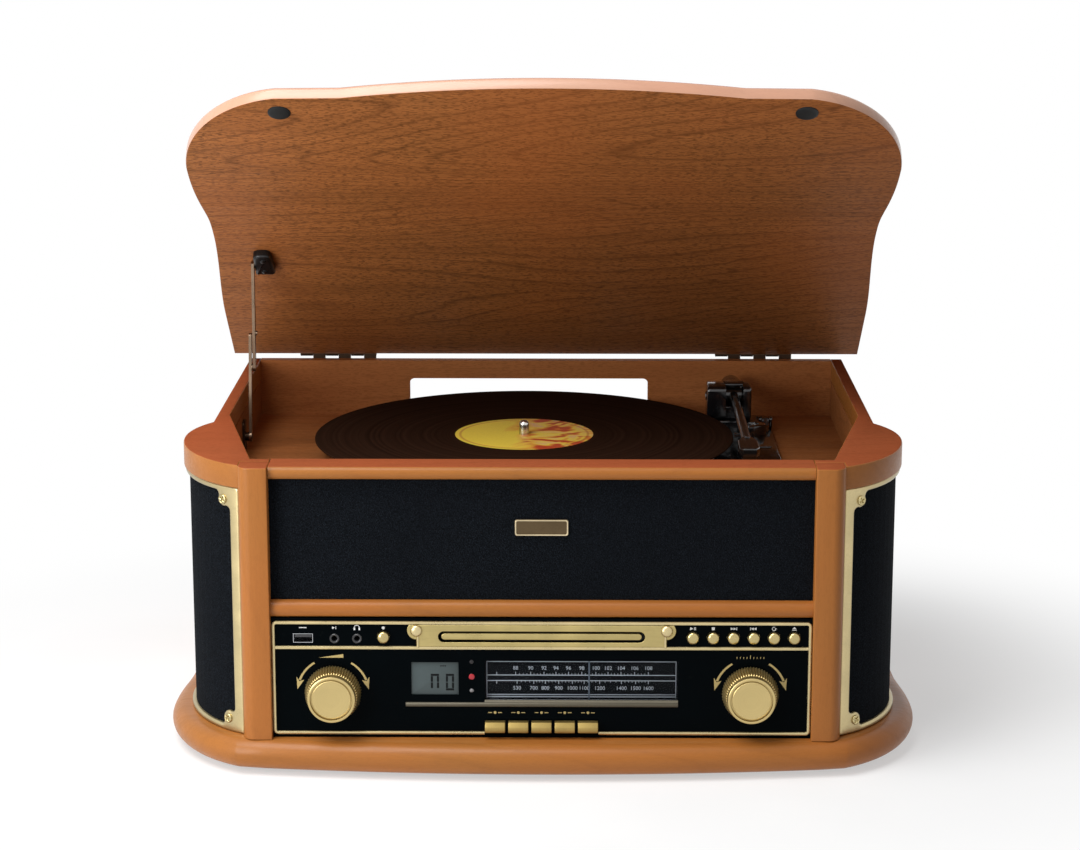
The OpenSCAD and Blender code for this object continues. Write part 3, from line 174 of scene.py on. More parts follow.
def prism(bm, loops, axis, start, end, round_start=0.0, round_end=0.0, steps=3):
    """Draws outlines out along an axis. The first is the outside, the others are holes."""
    place = AXES[axis]
    levels = []
    for k in range(steps + 1 if round_start else 1):
        t = math.radians(90 * k / steps)
        levels.append((round_start * (1 - math.sin(t)), start + round_start * (1 - math.cos(t))))
    for k in range(steps + 1 if round_end else 1):
        t = math.radians(90 * k / steps)
        levels.append((round_end * (1 - math.cos(t)), end - round_end * (1 - math.sin(t))))
    first, last = [], []
    for number, loop in enumerate(loops):
        rings = []
        for by, w in levels:
            points = inset(loop, by, number > 0) if by > 1e-6 else loop
            rings.append([bm.verts.new(Vector(place(*p, w)) * MM) for p in points])
        bridge(bm, rings, ends=False)
        first.append(rings[0])
        last.append(rings[-1])
    for group in (first, last):
        if len(group) == 1:
            bm.faces.new(group[0])
        else:
            edges = [bm.edges.get(pair) for r in group for pair in zip(r, r[1:] + r[:1])]
            bmesh.ops.triangle_fill(bm, use_beauty=True, use_dissolve=False, edges=edges)


def block(bm, axis, x0, x1, y0, y1, start, end, r=0.0, *rounds, fine=6):
    """A box along an axis, with round corners about it."""
    prism(bm, [box_outline(x0, x1, y0, y1, r, fine)], axis, start, end, *rounds)


def ink():
    """Thickness of printed marks, in millimetres."""
    return round(bpy.context.scene.centre_panel.mark / MM, 5)


def printed(bm, outline, y=FACE_Y):
    """A printed mark that stands on a face at a depth."""
    prism(bm, [outline], "y", y - ink(), y)


def loft(bm, rings):
    """A skin through rings of as many points each, in millimetres, with strips over its ends."""
    made = [[bm.verts.new(Vector(p) * MM) for p in ring] for ring in rings]
    bridge(bm, made, ends=False)
    n = len(rings[0])
    for ring in (made[0], made[-1]):
        for i in range(n // 2 - 1):
            bm.faces.new((ring[i], ring[i + 1], ring[n - 2 - i], ring[n - 1 - i]))


def turned(bm, profile, centre, axis="z", steps=48, sign=1):
    """Turns a profile of radii and heights round an axis through a centre."""
    bridge(bm, [[bm.verts.new((Vector(AXES[axis](r * math.cos(a), r * math.sin(a), sign * h))
                               + Vector(centre)) * MM) for a in full_turn(steps if r else 1)]
                for r, h in profile], ends=profile[0] != profile[-1])


def rod(bm, start, end, r, steps=20):
    """A round rod between two points, with slightly broken ends."""
    a, b = Vector(start), Vector(end)
    along = (b - a).normalized()
    side = along.orthogonal().normalized()
    other = along.cross(side)
    soft = min(0.35, r * 0.3)
    bridge(bm, [[bm.verts.new((at + side * radius * math.cos(t) + other * radius * math.sin(t))
                              * MM) for t in full_turn(steps)]
                for at, radius in ((a, r - soft), (a + along * soft, r), (b - along * soft, r),
                                   (b, r - soft))])


def bead(bm, path):
    """Lays a rounded gilt line along a path on the panel, in X and Z."""
    half = LINE_W / 2
    profile = [(s * half, up * GOLD_T) for s, up in
               ((-1, 0), (1, 0), (1, 0.45), (0.72, 0.86), (0.3, 1), (-0.3, 1), (-0.72, 0.86),
                (-1, 0.45))]
    rings = []
    for i, (x, z) in enumerate(path):
        before, after = path[max(0, i - 1)], path[min(len(path) - 1, i + 1)]
        a = Vector((x - before[0], z - before[1]))
        b = Vector((after[0] - x, after[1] - z))
        a = a.normalized() if a.length > 1e-6 else b.normalized()
        b = b.normalized() if b.length > 1e-6 else a
        m = Vector((-(a.y + b.y), a.x + b.x)).normalized()
        grow = 1 / max(0.4, m.dot(Vector((-a.y, a.x))))
        rings.append([bm.verts.new(Vector((x + m.x * side * grow, FACE_Y - out,
                                           z + m.y * side * grow)) * MM)
                      for side, out in profile])
    bridge(bm, rings)


def mirrored(bm, build):
    """Runs a build on the right and adds its mirror image on the left."""
    build(bm)
    copied = bmesh.ops.duplicate(bm, geom=bm.verts[:] + bm.edges[:] + bm.faces[:])
    twins = [v for v in copied["geom"] if isinstance(v, bmesh.types.BMVert)]
    for v in twins:
        v.co.x = -v.co.x


def placed(bm, matrix, build):
    """Adds a build to a mesh, moved by a matrix."""
    part, mesh = bmesh.new(), bpy.data.meshes.new("part")
    build(part)
    part.transform(matrix)
    part.to_mesh(mesh)
    part.free()
    bm.from_mesh(mesh)
    bpy.data.meshes.remove(mesh)


def dense(points, step):
    """The same outline with points at most a step apart."""
    out = []
    for a, b in zip(points, points[1:] + points[:1]):
        n = max(1, math.ceil(math.dist(a, b) / step))
        out += [(a[0] + (b[0] - a[0]) * i / n, a[1] + (b[1] - a[1]) * i / n) for i in range(n)]
    return out


def piece(name, build, body, material, replaces=(), sharp=35, place=None, facing=()):
    """Makes a piece from a mesh build, gives it its finish and lets it ride on a body.
    Facing lists further finishes, each with the range of way up of the faces that take it."""
    mesh = bpy.data.meshes.new(name)
    bm = bmesh.new()
    build(bm)
    bmesh.ops.remove_doubles(bm, verts=bm.verts, dist=1e-7)
    bmesh.ops.recalc_face_normals(bm, faces=bm.faces)
    bm.to_mesh(mesh)
    bm.free()
    mesh.polygons.foreach_set("use_smooth", [True] * len(mesh.polygons))
    mesh.set_sharp_from_angle(angle=math.radians(sharp))
    mesh.materials.append(material)
    for number, (further, low, high) in enumerate(facing, 1):
        mesh.materials.append(further)
        for face in mesh.polygons:
            if low <= face.normal.z <= high:
                face.material_index = number
    if place is not None:
        mesh.transform(place)
    made = bpy.data.objects.new(name, mesh)
    bpy.context.scene.collection.objects.link(made)
    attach(made, body)
    if replaces:
        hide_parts(*replaces)
    return made


def dial_figure(bm, text, x, z):
    """Adds a plain number, facing the front, to the dial's print."""
    curve = bpy.data.curves.new("figure", "FONT")
    curve.body = text
    curve.size = 2.5 / 0.7 * MM
    curve.align_x = curve.align_y = "CENTER"
    curve.extrude = 0.06 * MM
    curve.resolution_u = 3
    maker = bpy.data.objects.new("figure", curve)
    bpy.context.scene.collection.objects.link(maker)
    bpy.context.view_layer.update()
    mesh = bpy.data.meshes.new_from_object(maker)
    mesh.transform(Matrix.Translation(Vector((x, SCALE_Y - ink(), z)) * MM)
                   @ Matrix.Rotation(math.radians(90), 4, "X"))
    bm.from_mesh(mesh)
    bpy.data.objects.remove(maker)
    bpy.data.meshes.remove(mesh)
    bpy.data.curves.remove(curve)


def dress(material, *nodes):
    """Gives CAD nodes a finish."""
    for name in nodes:
        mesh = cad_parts[name].data
        mesh.materials.clear()
        mesh.materials.append(material)


# Finishes

def shade(colour, by):
    """A colour made darker or lighter by a factor."""
    return tuple(min(1.0, c * by) for c in colour)


class Nodes:
    """A node tree and the short words that fill it."""

    def __init__(self, tree):
        self.tree = tree

    def add(self, kind, inputs=None, **settings):
        made = self.tree.nodes.new("ShaderNode" + kind)
        for key, value in settings.items():
            setattr(made, key, value)
        for key, value in (inputs or {}).items():
            self.put(made.inputs[key], value)
        return made

    def put(self, socket, value):
        if isinstance(value, bpy.types.NodeSocket):
            self.tree.links.new(value, socket)
        else:
            socket.default_value = value

    def math(self, what, *values):
        made = self.add("Math", operation=what)
        for socket, value in zip(made.inputs, values):
            self.put(socket, value)
        return made.outputs[0]

    def times(self, a, b):
        return self.math("MULTIPLY", a, b)

    def plus(self, a, b):
        return self.math("ADD", a, b)

    def spread(self, value, low, high, from_low=0.0, from_high=1.0, kind="LINEAR"):
        return self.add("MapRange", {"Value": value, "From Min": from_low, "From Max": from_high,
                                     "To Min": low, "To Max": high},
                        interpolation_type=kind).outputs["Result"]

    def seen(self):
        """One for what the eye sees, straight, mirrored or through glass, and else nought."""
        ray = self.add("LightPath").outputs
        return self.math("MAXIMUM", ray["Is Camera Ray"], self.math(
            "MAXIMUM", ray["Is Glossy Ray"], ray["Is Transmission Ray"]))


class Finish(Nodes):
    """A material whose look comes from its own nodes."""

    def __init__(self, name, colour=(1, 1, 1)):
        self.material = bpy.data.materials.new(name)
        self.material.use_nodes = True
        super().__init__(self.material.node_tree)
        self.shader = self.tree.nodes["Principled BSDF"]
        self.colour = colour

    def set(self, **values):
        for key, value in values.items():
            self.put(self.shader.inputs[key.replace("_", " ")], value)

    def place(self, scale=(1, 1, 1), turn=(0, 0, 0), move=(0, 0, 0)):
        at = self.add("TexCoord").outputs["Object"]
        return self.add("Mapping", {"Vector": at, "Scale": scale, "Location": move,
                                    "Rotation": [math.radians(a) for a in turn]}).outputs[0]

    def noise(self, vector, scale, detail, rough, warp=0.0, out="Fac"):
        return self.add("TexNoise", {"Vector": vector, "Scale": scale, "Detail": detail,
                                     "Roughness": rough, "Distortion": warp}).outputs[out]

    def ramp(self, value, *stops):
        made = self.add("ValToRGB", {"Fac": value})
        points = made.color_ramp.elements
        while len(points) < len(stops):
            points.new(0.5)
        for point, (at, colour) in zip(points, stops):
            point.position = at
            point.color = (*((colour,) * 3 if isinstance(colour, float) else colour), 1)
        return made.outputs["Color"]

    def mix(self, share, a, b):
        """Mixes two colours, each a socket, a colour or a number: a tone of the own colour."""
        made = self.add("Mix", {"Factor": share}, data_type="RGBA")
        for socket, value in ((made.inputs[6], a), (made.inputs[7], b)):
            if isinstance(value, float):
                value = shade(self.colour, value)
            self.put(socket, value if isinstance(value, bpy.types.NodeSocket) else (*value, 1))
        return made.outputs[2]

    def lay_tone(self, base, value, share, low, high, colour):
        """Lays a colour on, by a share that grows as a value goes from low to high."""
        return self.mix(self.spread(value, 0.0, share, low, high), base, colour)

    def painted_edge_shade(self, base, share):
        """Painted shade: darkens the colour where a face turns away from the eye, standing in for
        the dark room that metal would mirror.
        """
        facing = self.add("LayerWeight", {"Blend": 0.5}).outputs["Facing"]
        return self.lay_tone(base, facing, share, 0.15, 0.85, 0.25)

    def far(self, at, *ways):
        """Distance from the middle, along two ways only."""
        parts = self.add("SeparateXYZ", {"Vector": at}).outputs
        return self.math("SQRT", self.plus(*(self.math("POWER", parts[w], 2.0) for w in ways)))

    def ringed(self, far, fine, detail, rough):
        """Noise that changes with the distance only."""
        line = self.add("CombineXYZ", {"X": self.times(far, fine)}).outputs[0]
        return self.noise(line, 1.0, detail, rough)

    def surface(self, share, first, second):
        """Makes the surface a mixture of two shaders and hands the material over."""
        both = self.add("MixShader", {0: share, 1: first.outputs[0], 2: second.outputs[0]})
        self.put(self.tree.nodes["Material Output"].inputs["Surface"], both.outputs[0])
        return self.material

    def relief(self, height, strength, distance):
        """Adds a relief, its depth in millimetres, and hands the material over."""
        self.set(Normal=self.add("Bump", {"Height": height, "Strength": strength,
                                          "Distance": distance * MM}).outputs[0])
        return self.material


def wood(name, colour, turn=(0, 0, 0), figure=0.5, streak=0.5, pores=0.5, rough=0.45,
         shine=0.2, coat=0.0, move=(0, 0, 0), rings=24.0, slope=0.5):
    """Flat sawn wood with its grain along the turned X axis."""
    f = Finish(name, colour)
    at = f.place(turn=turn, move=move)
    drift = f.add("VectorMath", {0: f.noise(at, 11.0, 3.0, 0.5, out="Color"),
                                 1: (0.5, 0.5, 0.5)}, operation="SUBTRACT").outputs[0]
    bent = f.add("VectorMath", {0: drift, 1: (0.035, 0.004, 0.004), 2: at},
                 operation="MULTIPLY_ADD").outputs[0]

    def drawn(along, across, detail, roughness):
        """Noise in the bent wood, drawn out along the grain."""
        return f.noise(f.add("Mapping", {"Vector": bent, "Scale": (along, across, across)}
                             ).outputs[0], 1.0, detail, roughness)
    parts = f.add("SeparateXYZ", {"Vector": bent}).outputs
    hill = f.plus(drawn(0.9, 6.0, 1.0, 0.35), f.times(f.plus(parts["Y"], parts["Z"]), slope))
    line = f.ramp(f.math("FRACT", f.times(hill, rings)), (0.0, 1.0), (0.07, 0.45),
                  (0.16, 0.04), (0.9, 0.0), (1.0, 0.9))
    line = f.times(line, f.spread(drawn(34.0, 260.0, 3.0, 0.7), 0.2, 1.0, 0.32, 0.55))
    fibre = drawn(14.0, 430.0, 3.0, 0.7)
    pore = f.ramp(drawn(230.0, 1300.0, 1.0, 0.6), (0.52, 0.0), (0.6, 1.0))
    base = f.lay_tone(1 - 0.3 * streak, drawn(3.0, 60.0, 4.0, 0.7), 1.0, 0.3, 0.7,
                   1 + 0.24 * streak)
    base = f.lay_tone(base, fibre, 0.55 * streak, 0.35, 0.7, 0.6)
    base = f.mix(f.times(line, figure), base, 0.26)
    base = f.mix(f.times(pore, pores), base, 0.32)
    base = f.lay_tone(base, f.noise(at, 6.0, 2.0, 0.5), 0.35, 0.35, 0.65,
                   (min(1, colour[0] * 1.12), colour[1] * 0.86, colour[2] * 0.75))
    f.set(Base_Color=base, Roughness=f.spread(fibre, rough - 0.05, rough + 0.1, 0.3, 0.7),
          Specular_IOR_Level=shine, Coat_Weight=coat, Coat_Roughness=0.25, Coat_IOR=1.4)
    return f.relief(f.plus(f.times(pore, -1.0 * pores), f.times(fibre, 0.5)), 0.3, 0.1)


def cloth(name, colour, thread):
    """Dark woven speaker cloth."""
    f = Finish(name, colour)
    at = f.place()
    near, wide = 1000 / thread, 550 / thread
    weft = f.noise(f.place(scale=(near, near, wide)), 1.0, 1.0, 0.5)
    warp = f.noise(f.place(scale=(wide, wide, near)), 1.0, 1.0, 0.5)
    fuzz = f.noise(at, 2600.0, 1.0, 0.7)
    weave = f.times(f.spread(weft, 0.0, 1.0, 0.32, 0.68), f.spread(warp, 0.3, 1.0, 0.32, 0.68))
    base = f.mix(f.times(weave, f.spread(fuzz, 0.3, 1.5, 0.32, 0.68)), 0.2, 3.2)
    base = f.lay_tone(base, f.noise(at, 14.0, 3.0, 0.6), 0.35, 0.35, 0.7, 0.6)
    f.set(Base_Color=base, Roughness=0.95, Specular_IOR_Level=0.05)
    return f.relief(f.plus(weave, f.times(fuzz, 0.6)), 0.5, 0.3)


def metal(name, colour, rough, metallic, brushed=(900, 900, 900), grime=0.5, coat=0.0):
    """Plated or painted metal, with fine scratches and duller patches."""
    f = Finish(name, colour)
    at = f.place()
    cloud = f.noise(at, 45.0, 4.0, 0.6)
    fine = f.noise(f.place(scale=brushed), 1.0, 3.0, 0.6)
    dust = f.ramp(f.noise(at, 160.0, 3.0, 0.65), (0.6, 0.0), (0.78, 1.0))
    base = f.lay_tone(0.88, cloud, 1.0, 0.3, 0.7, 1.072)
    base = f.lay_tone(base, fine, 0.25, 0.45, 0.75, 0.7)
    base = f.mix(f.times(dust, 0.35 * grime), base, 0.45)
    # painted shade on the faces that turn away from the eye
    f.set(Base_Color=f.painted_edge_shade(base, 0.55), Metallic=metallic, Coat_Weight=coat,
          Coat_Roughness=0.1,
          Roughness=f.plus(f.spread(cloud, rough - 0.05, rough + 0.06, 0.3, 0.7),
                           f.spread(fine, -0.04, 0.06, 0.3, 0.7)))
    return f.relief(fine, 0.12, 0.05)


def gilt_face(name, colour, centre):
    """Gilt metal turned on a lathe: fine rings round a centre in X and Z."""
    f = Finish(name, colour)
    at = f.place(move=(-centre[0] * MM, 0, -centre[1] * MM))
    ring = f.ringed(f.far(at, "X", "Z"), 2500.0, 2.0, 0.5)
    base = f.lay_tone(1.08, ring, 0.5, 0.3, 0.7, 0.8)
    base = f.lay_tone(base, f.noise(at, 60.0, 3.0, 0.55), 0.4, 0.35, 0.7, 0.82)
    # painted shade on the faces that turn away from the eye
    f.set(Base_Color=f.painted_edge_shade(base, 0.2), Metallic=0.9, Anisotropic=0.4,
          Roughness=f.spread(ring, 0.25, 0.42, 0.3, 0.7))
    return f.relief(ring, 0.15, 0.05)


def plastic(name, colour, rough, shine, grain=0.2, dust=0.3, coat=0.0):
    """Moulded plastic or lacquered board with a faint skin and a little dust."""
    f = Finish(name, colour)
    at = f.place()
    cloud = f.noise(at, 30.0, 3.0, 0.55)
    speck = f.ramp(f.noise(at, 420.0, 2.0, 0.6), (0.68, 0.0), (0.8, 1.0))
    base = f.lay_tone(0.85, cloud, 1.0, 0.3, 0.7, 1.12)
    f.set(Base_Color=f.mix(f.times(speck, 0.12 * dust), base, (0.25, 0.24, 0.22)),
          Specular_IOR_Level=shine, Coat_Weight=coat, Coat_Roughness=0.08,
          Roughness=f.spread(cloud, rough - 0.04, rough + 0.06, 0.3, 0.7))
    return f.relief(f.noise(at, 700.0, 2.0, 0.5), 0.1 + 0.5 * grain, 0.04)


def vinyl(name, colour, grooves):
    """Pressed black vinyl with grooves round the spindle, in bands of differing roughness. Its
    brown colour is a painted reflection of the wood round it, and the bands' lighter and darker
    tones are painted sheen.
    """
    f = Finish(name, colour)
    at = f.place(move=(-SPINDLE_X * MM, -SPINDLE_Y * MM, 0))
    far = f.far(at, "X", "Y")
    groove = f.math("SINE", f.times(far, grooves * 6.2832 * 10))
    band = f.ringed(far, 260.0, 3.0, 0.6)
    dust = f.ramp(f.noise(at, 500.0, 2.0, 0.6), (0.7, 0.0), (0.8, 1.0))
    # painted sheen: the bands make the colour lighter and darker
    base = f.lay_tone(0.7, band, 1.0, 0.3, 0.7, 1.5)
    f.set(Base_Color=f.mix(f.times(dust, 0.05), base, (0.2, 0.19, 0.18)),
          Roughness=f.spread(band, 0.3, 0.45, 0.3, 0.7), Specular_IOR_Level=0.0)
    return f.relief(groove, 0.03, 0.02)


def label_paper(name, yellow, red):
    """A generic record label: a yellow field with soft red and orange waves to one side."""
    f = Finish(name, red)
    at = f.place(move=(-SPINDLE_X * MM, -SPINDLE_Y * MM, 0))
    across = f.add("SeparateXYZ", {"Vector": at}).outputs["X"]
    side = f.plus(f.times(across, 22.0), f.times(f.noise(at, 22.0, 2.0, 0.5, 1.2), 1.6))
    share = f.ramp(side, (0.78, 0.0), (0.95, 1.0))
    speck = f.noise(at, 900.0, 3.0, 0.6)
    pattern = f.ramp(f.noise(at, 30.0, 1.0, 0.4, 3.0), (0.3, shade(red, 0.9)), (0.4, red),
                     (0.46, srgb(232, 140, 54)), (0.53, yellow), (0.66, srgb(240, 190, 140)))
    base = f.mix(share, yellow, pattern)
    base = f.mix(f.ramp(side, (0.55, 0.0), (0.82, 0.5), (1.0, 0.0)), base, srgb(232, 140, 48))
    rim = f.ramp(f.times(f.far(at, "X", "Y"), 20.0), (0.9, 0.0), (0.915, 1.0), (0.935, 1.0),
                 (0.95, 0.0))
    base = f.mix(f.times(rim, 0.5), base, 0.8)
    base = f.lay_tone(base, speck, 0.2, 0.4, 0.7, shade(yellow, 0.6))
    f.set(Base_Color=base, Roughness=0.55)
    return f.relief(speck, 0.1, 0.03)


def clear_glass(name, tint):
    """Thin clear plastic with a faint tint, seen through without bending the view."""
    f = Finish(name)
    f.tree.nodes.remove(f.shader)
    smear = f.noise(f.place(), 9.0, 2.0, 0.5)
    gloss = f.add("BsdfGlossy", {"Roughness": f.spread(smear, 0.04, 0.12, 0.3, 0.7)})
    return f.surface(f.add("Fresnel", {"IOR": 1.12}).outputs[0],
                     f.add("BsdfTransparent", {"Color": (*tint, 1)}), gloss)


def liquid_crystal(name, colour):
    """Grey backed display, with painted shade that makes it a little darker towards its edges."""
    f = Finish(name, colour)
    at = f.place(move=(-DISPLAY_X * MM, 0, -DISPLAY_Z * MM))
    parts = f.add("SeparateXYZ", {"Vector": at}).outputs
    out = f.plus(*(f.math("POWER", f.times(parts[way], 1000 / half), 6.0)
                   for way, half in (("X", 17), ("Z", 12.5))))
    cell = f.noise(at, 1200.0, 1.0, 0.5)
    base = f.lay_tone(1.0, f.noise(at, 90.0, 3.0, 0.6), 0.5, 0.3, 0.7, 0.85)
    # painted shade towards the edges of the set back window
    base = f.mix(f.math("MINIMUM", out, 0.7), base, 0.35)
    base = f.lay_tone(base, cell, 0.15, 0.4, 0.6, 0.7)
    f.set(Base_Color=base, Roughness=0.2, Specular_IOR_Level=0.3)
    return f.relief(cell, 0.05, 0.02)


# What a user would change

def colour_of(label, about, value):
    """A colour among the looks."""
    return FloatVectorProperty(name=label, description=about, default=value, size=3,
                               min=0.0, max=1.0, subtype="COLOR")


class WoodLooks(bpy.types.PropertyGroup):
    """Woods of the lid and the cabinet."""
    lid: colour_of("Lid", "Veneer of the lid", srgb(158, 99, 53))
    # the lid's edge is its own lacquered solid wood, made paler by a painted highlight
    edge: colour_of("Lid edge", "Lacquered edge of the lid", srgb(200, 154, 128))
    cabinet: colour_of("Cabinet", "Lacquered wood of the posts, rails and plinth",
                       srgb(159, 100, 44))
    # painted shade: the top's darker, redder tone stands in for shade on upward faces; the lid's
    # top face takes it too
    cap: colour_of("Top", "Lacquered wood of the top frame", srgb(156, 84, 52))
    inside: colour_of("Inside", "Veneer inside the turntable well", srgb(178, 114, 66))
    figure: FloatProperty(name="Figure", description="Strength of the lid's growth rings",
                          default=0.72, min=0.0, max=1.0, subtype="FACTOR")


class ClothLooks(bpy.types.PropertyGroup):
    """Cloth of the three grilles."""
    colour: colour_of("Cloth", "Speaker cloth", srgb(14, 17, 21))
    thread: FloatProperty(name="Thread", description="Size of the weave in millimetres",
                          default=0.55, min=0.3, max=3.0)


class GiltLooks(bpy.types.PropertyGroup):
    """Gilt metal parts."""
    trim: colour_of("Trim", "Pale gilt of the trims and the panel's frame", srgb(208, 190, 142))
    plate: colour_of("Plate", "Gilt of the disc slot's plate and the keys", srgb(186, 168, 112))
    knob: colour_of("Knobs", "Gilt of the knobs", srgb(200, 178, 122))
    button: colour_of("Buttons", "Gilt of the round buttons", srgb(192, 174, 122))


class PanelLooks(bpy.types.PropertyGroup):
    """Control panel."""
    panel: colour_of("Panel", "Black panel", srgb(2, 5, 7))
    print_pale: colour_of("Pale print", "Print on the dial", srgb(236, 238, 242))
    print_gilt: colour_of("Gilt print", "Print round the knobs", srgb(178, 158, 104))
    display: colour_of("Display", "Back of the display", srgb(70, 81, 82))
    mark: FloatProperty(name="Mark thickness", description="Thickness of printed marks",
                        default=0.00015, min=0.00005, max=0.0005, unit="LENGTH",
                        subtype="DISTANCE")


class RecordLooks(bpy.types.PropertyGroup):
    """Record and its label."""
    # the vinyl's brown is a painted reflection of the wood round the record
    vinyl: colour_of("Vinyl", "Record", srgb(42, 27, 19))
    yellow: colour_of("Label", "Field of the label", srgb(248, 222, 78))
    red: colour_of("Label pattern", "Waves on the label", srgb(196, 52, 26))
    grooves: IntProperty(name="Grooves", description="Groove pairs shown in each centimetre",
                         default=14, min=4, max=40)


class StageLooks(bpy.types.PropertyGroup):
    """Floor, lamps and camera."""
    key: FloatProperty(name="Key lamp", description="Power of the lamp at the left in front",
                       default=7.2, min=0.0, max=400.0, unit="POWER", subtype="POWER")
    top: FloatProperty(name="Top lamp", description="Power of the large lamp overhead",
                       default=24.0, min=0.0, max=400.0, unit="POWER", subtype="POWER")
    fill: FloatProperty(name="Fill", description="Strength of the light from all round",
                        default=0.17, min=0.0, max=2.0)
    floor: FloatProperty(name="Floor", description="Side of the floor", default=14.0, min=2.0,
                         unit="LENGTH", subtype="DISTANCE")


LOOKS = {"centre_wood": WoodLooks, "centre_cloth": ClothLooks, "centre_gilt": GiltLooks,
         "centre_panel": PanelLooks, "centre_record": RecordLooks, "centre_stage": StageLooks}


# Boards

def corner_side():
    """Right side of the cabinet from its sharp waist to the post."""
    waist = math.degrees(math.acos((HALF_W - CORNER_X) / CORNER_SIDE))
    last = math.degrees(math.acos((POST_OUT - CORNER_X) / CORNER_SIDE))
    return (arc(CORNER_X, CORNER_Y, CORNER_SIDE, CORNER_SIDE, waist, 0, 24)
            + arc(CORNER_X, CORNER_Y, CORNER_SIDE, CORNER_FRONT, 0, -last, 36)[1:])


def lipped_side(g, rear, waist, bulge, back, front_r, x_end):
    """Right side of a board whose outline is gently waisted behind its round corners. It is
    grown outwards by g and runs from the back to the X where the front's bow begins."""
    rx, ry, blend, steps = bulge - CORNER_X + g, 142 + g, 3, 54

    def width(y):
        s = (y - CORNER_Y) / ry
        around = CORNER_X + rx * math.sqrt(1 - s * s) if s < 1 else 0
        t = min(1.0, max(0.0, (y - 2) / (BACK_Y - 66)))
        straight = waist + g + (rear - waist) * (t * t * (3 - 2 * t))
        return (around + straight + math.sqrt((around - straight) ** 2 + blend ** 2)) / 2 - 0.4

    last = math.degrees(math.acos((x_end - CORNER_X) / rx))
    levels = [back + (CORNER_Y - back) * i / steps for i in range(steps)]
    return ([(width(y), y) for y in levels]
            + arc(CORNER_X, CORNER_Y, rx, front_r + g, -last / 42, -last, 41))


def both_sides(side):
    """A whole outline from its right side."""
    return [(-x, y) for x, y in side] + side[::-1]


def plinth_mesh(bm):
    """Base board with a half round edge and a bowed front."""
    crease, bow, bow_x = 10.2, 12.8, 200.0
    bulge = BASE_W / 2 - crease
    rings = []
    for k in range(17):
        a = math.radians(-90 + 180 * k / 16)
        g = crease * math.cos(a) - 0.4
        side = lipped_side(g, bulge - 2.6, bulge - 4.6, bulge, BASE_D / 2 - crease + g,
                           CORNER_FRONT + 3, bow_x)
        front = crease - BASE_D / 2 - g
        side += [(x, front + bow * (x / bow_x) ** 2)
                 for x in [bow_x * (1 - i / 11.5) for i in range(1, 12)]]
        z = FOOT_H + BASE_T / 2 + BASE_T / 2 * math.sin(a)
        rings.append([(x, y, z) for x, y in both_sides(side)])
    loft(bm, rings)


def lid_mesh(bm):
    """Lid board, closed, with a rounded upper edge."""
    def ring(g, z):
        side = lipped_side(g, 241.5, 236.5, 244.5, BACK_Y + min(g, 0), CORNER_FRONT, 176.0)
        for x in [LID_BOW_X * (1 - i / 14.5) for i in range(15)]:
            side.append((x, LID_FRONT_Y - g - LID_BOW * max(0, 1 - (x / LID_BOW_X) ** 2)))
        return [(x, y, z) for x, y in both_sides(side)]

    top, edge = LID_Z + LID_T, 3.0
    rings = [ring(-1.2, LID_Z), ring(-0.5, LID_Z + 0.25), ring(-0.2, LID_Z + 1),
             ring(-0.2, top - edge)]
    for k in (1, 2, 3, 4, 5):
        t = math.radians(90 * k / 5)
        rings.append(ring(-0.2 - edge * (1 - math.cos(t)), top - edge + edge * math.sin(t)))
    loft(bm, rings)


def cap_mesh(bm):
    """Top frame beside the turntable well."""
    def right(b):
        outline = [(HALF_W, BACK_Y)] + corner_side() + [
            (POST_OUT, POST_BACK_Y), (POST_X + 0.3, POST_BACK_Y), (POST_X + 0.3, WELL_FRONT_Y),
            (POST_OUT - 6, WELL_FRONT_Y), (WELL_X, WAIST_Y + 23.6), (WELL_X, BACK_Y)]
        prism(b, [outline], "z", CAP_Z, TOP_Z, 0.8, 1.0)

    mirrored(bm, right)


def rail_mesh(bm, z, t, back, half):
    """A front rail with a round nose."""
    nose = arc(FRONT_Y + t / 2, z + t / 2, t / 2, t / 2, 90, 270, 14)
    prism(bm, [[(back, z), (back, z + t)] + nose], "x", -half, half)


def post_mesh(bm, low, high, worn=0.0):
    """Both front posts between two heights, with the upper edge rounded."""
    inner, outer = 0.8, 8

    def right(b):
        outline = (arc(POST_X + inner, POST_Y + inner, inner, inner, 180, 270, 3)
                   + arc(POST_OUT - outer, POST_Y + outer, outer, outer, -90, 0, 14)
                   + [(POST_OUT, POST_BACK_Y), (POST_X, POST_BACK_Y)])
        prism(b, [outline], "z", low, high, 0.0, worn)

    mirrored(bm, right)


def lid_place():
    """Turns what was made with the lid closed round its hinges, as far as it stands open."""
    at = Matrix.Translation(Vector((0, HINGE_Y, HINGE_Z)) * MM)
    return at @ Matrix.Rotation(math.radians(-LID_OPEN), 4, "X") @ at.inverted()


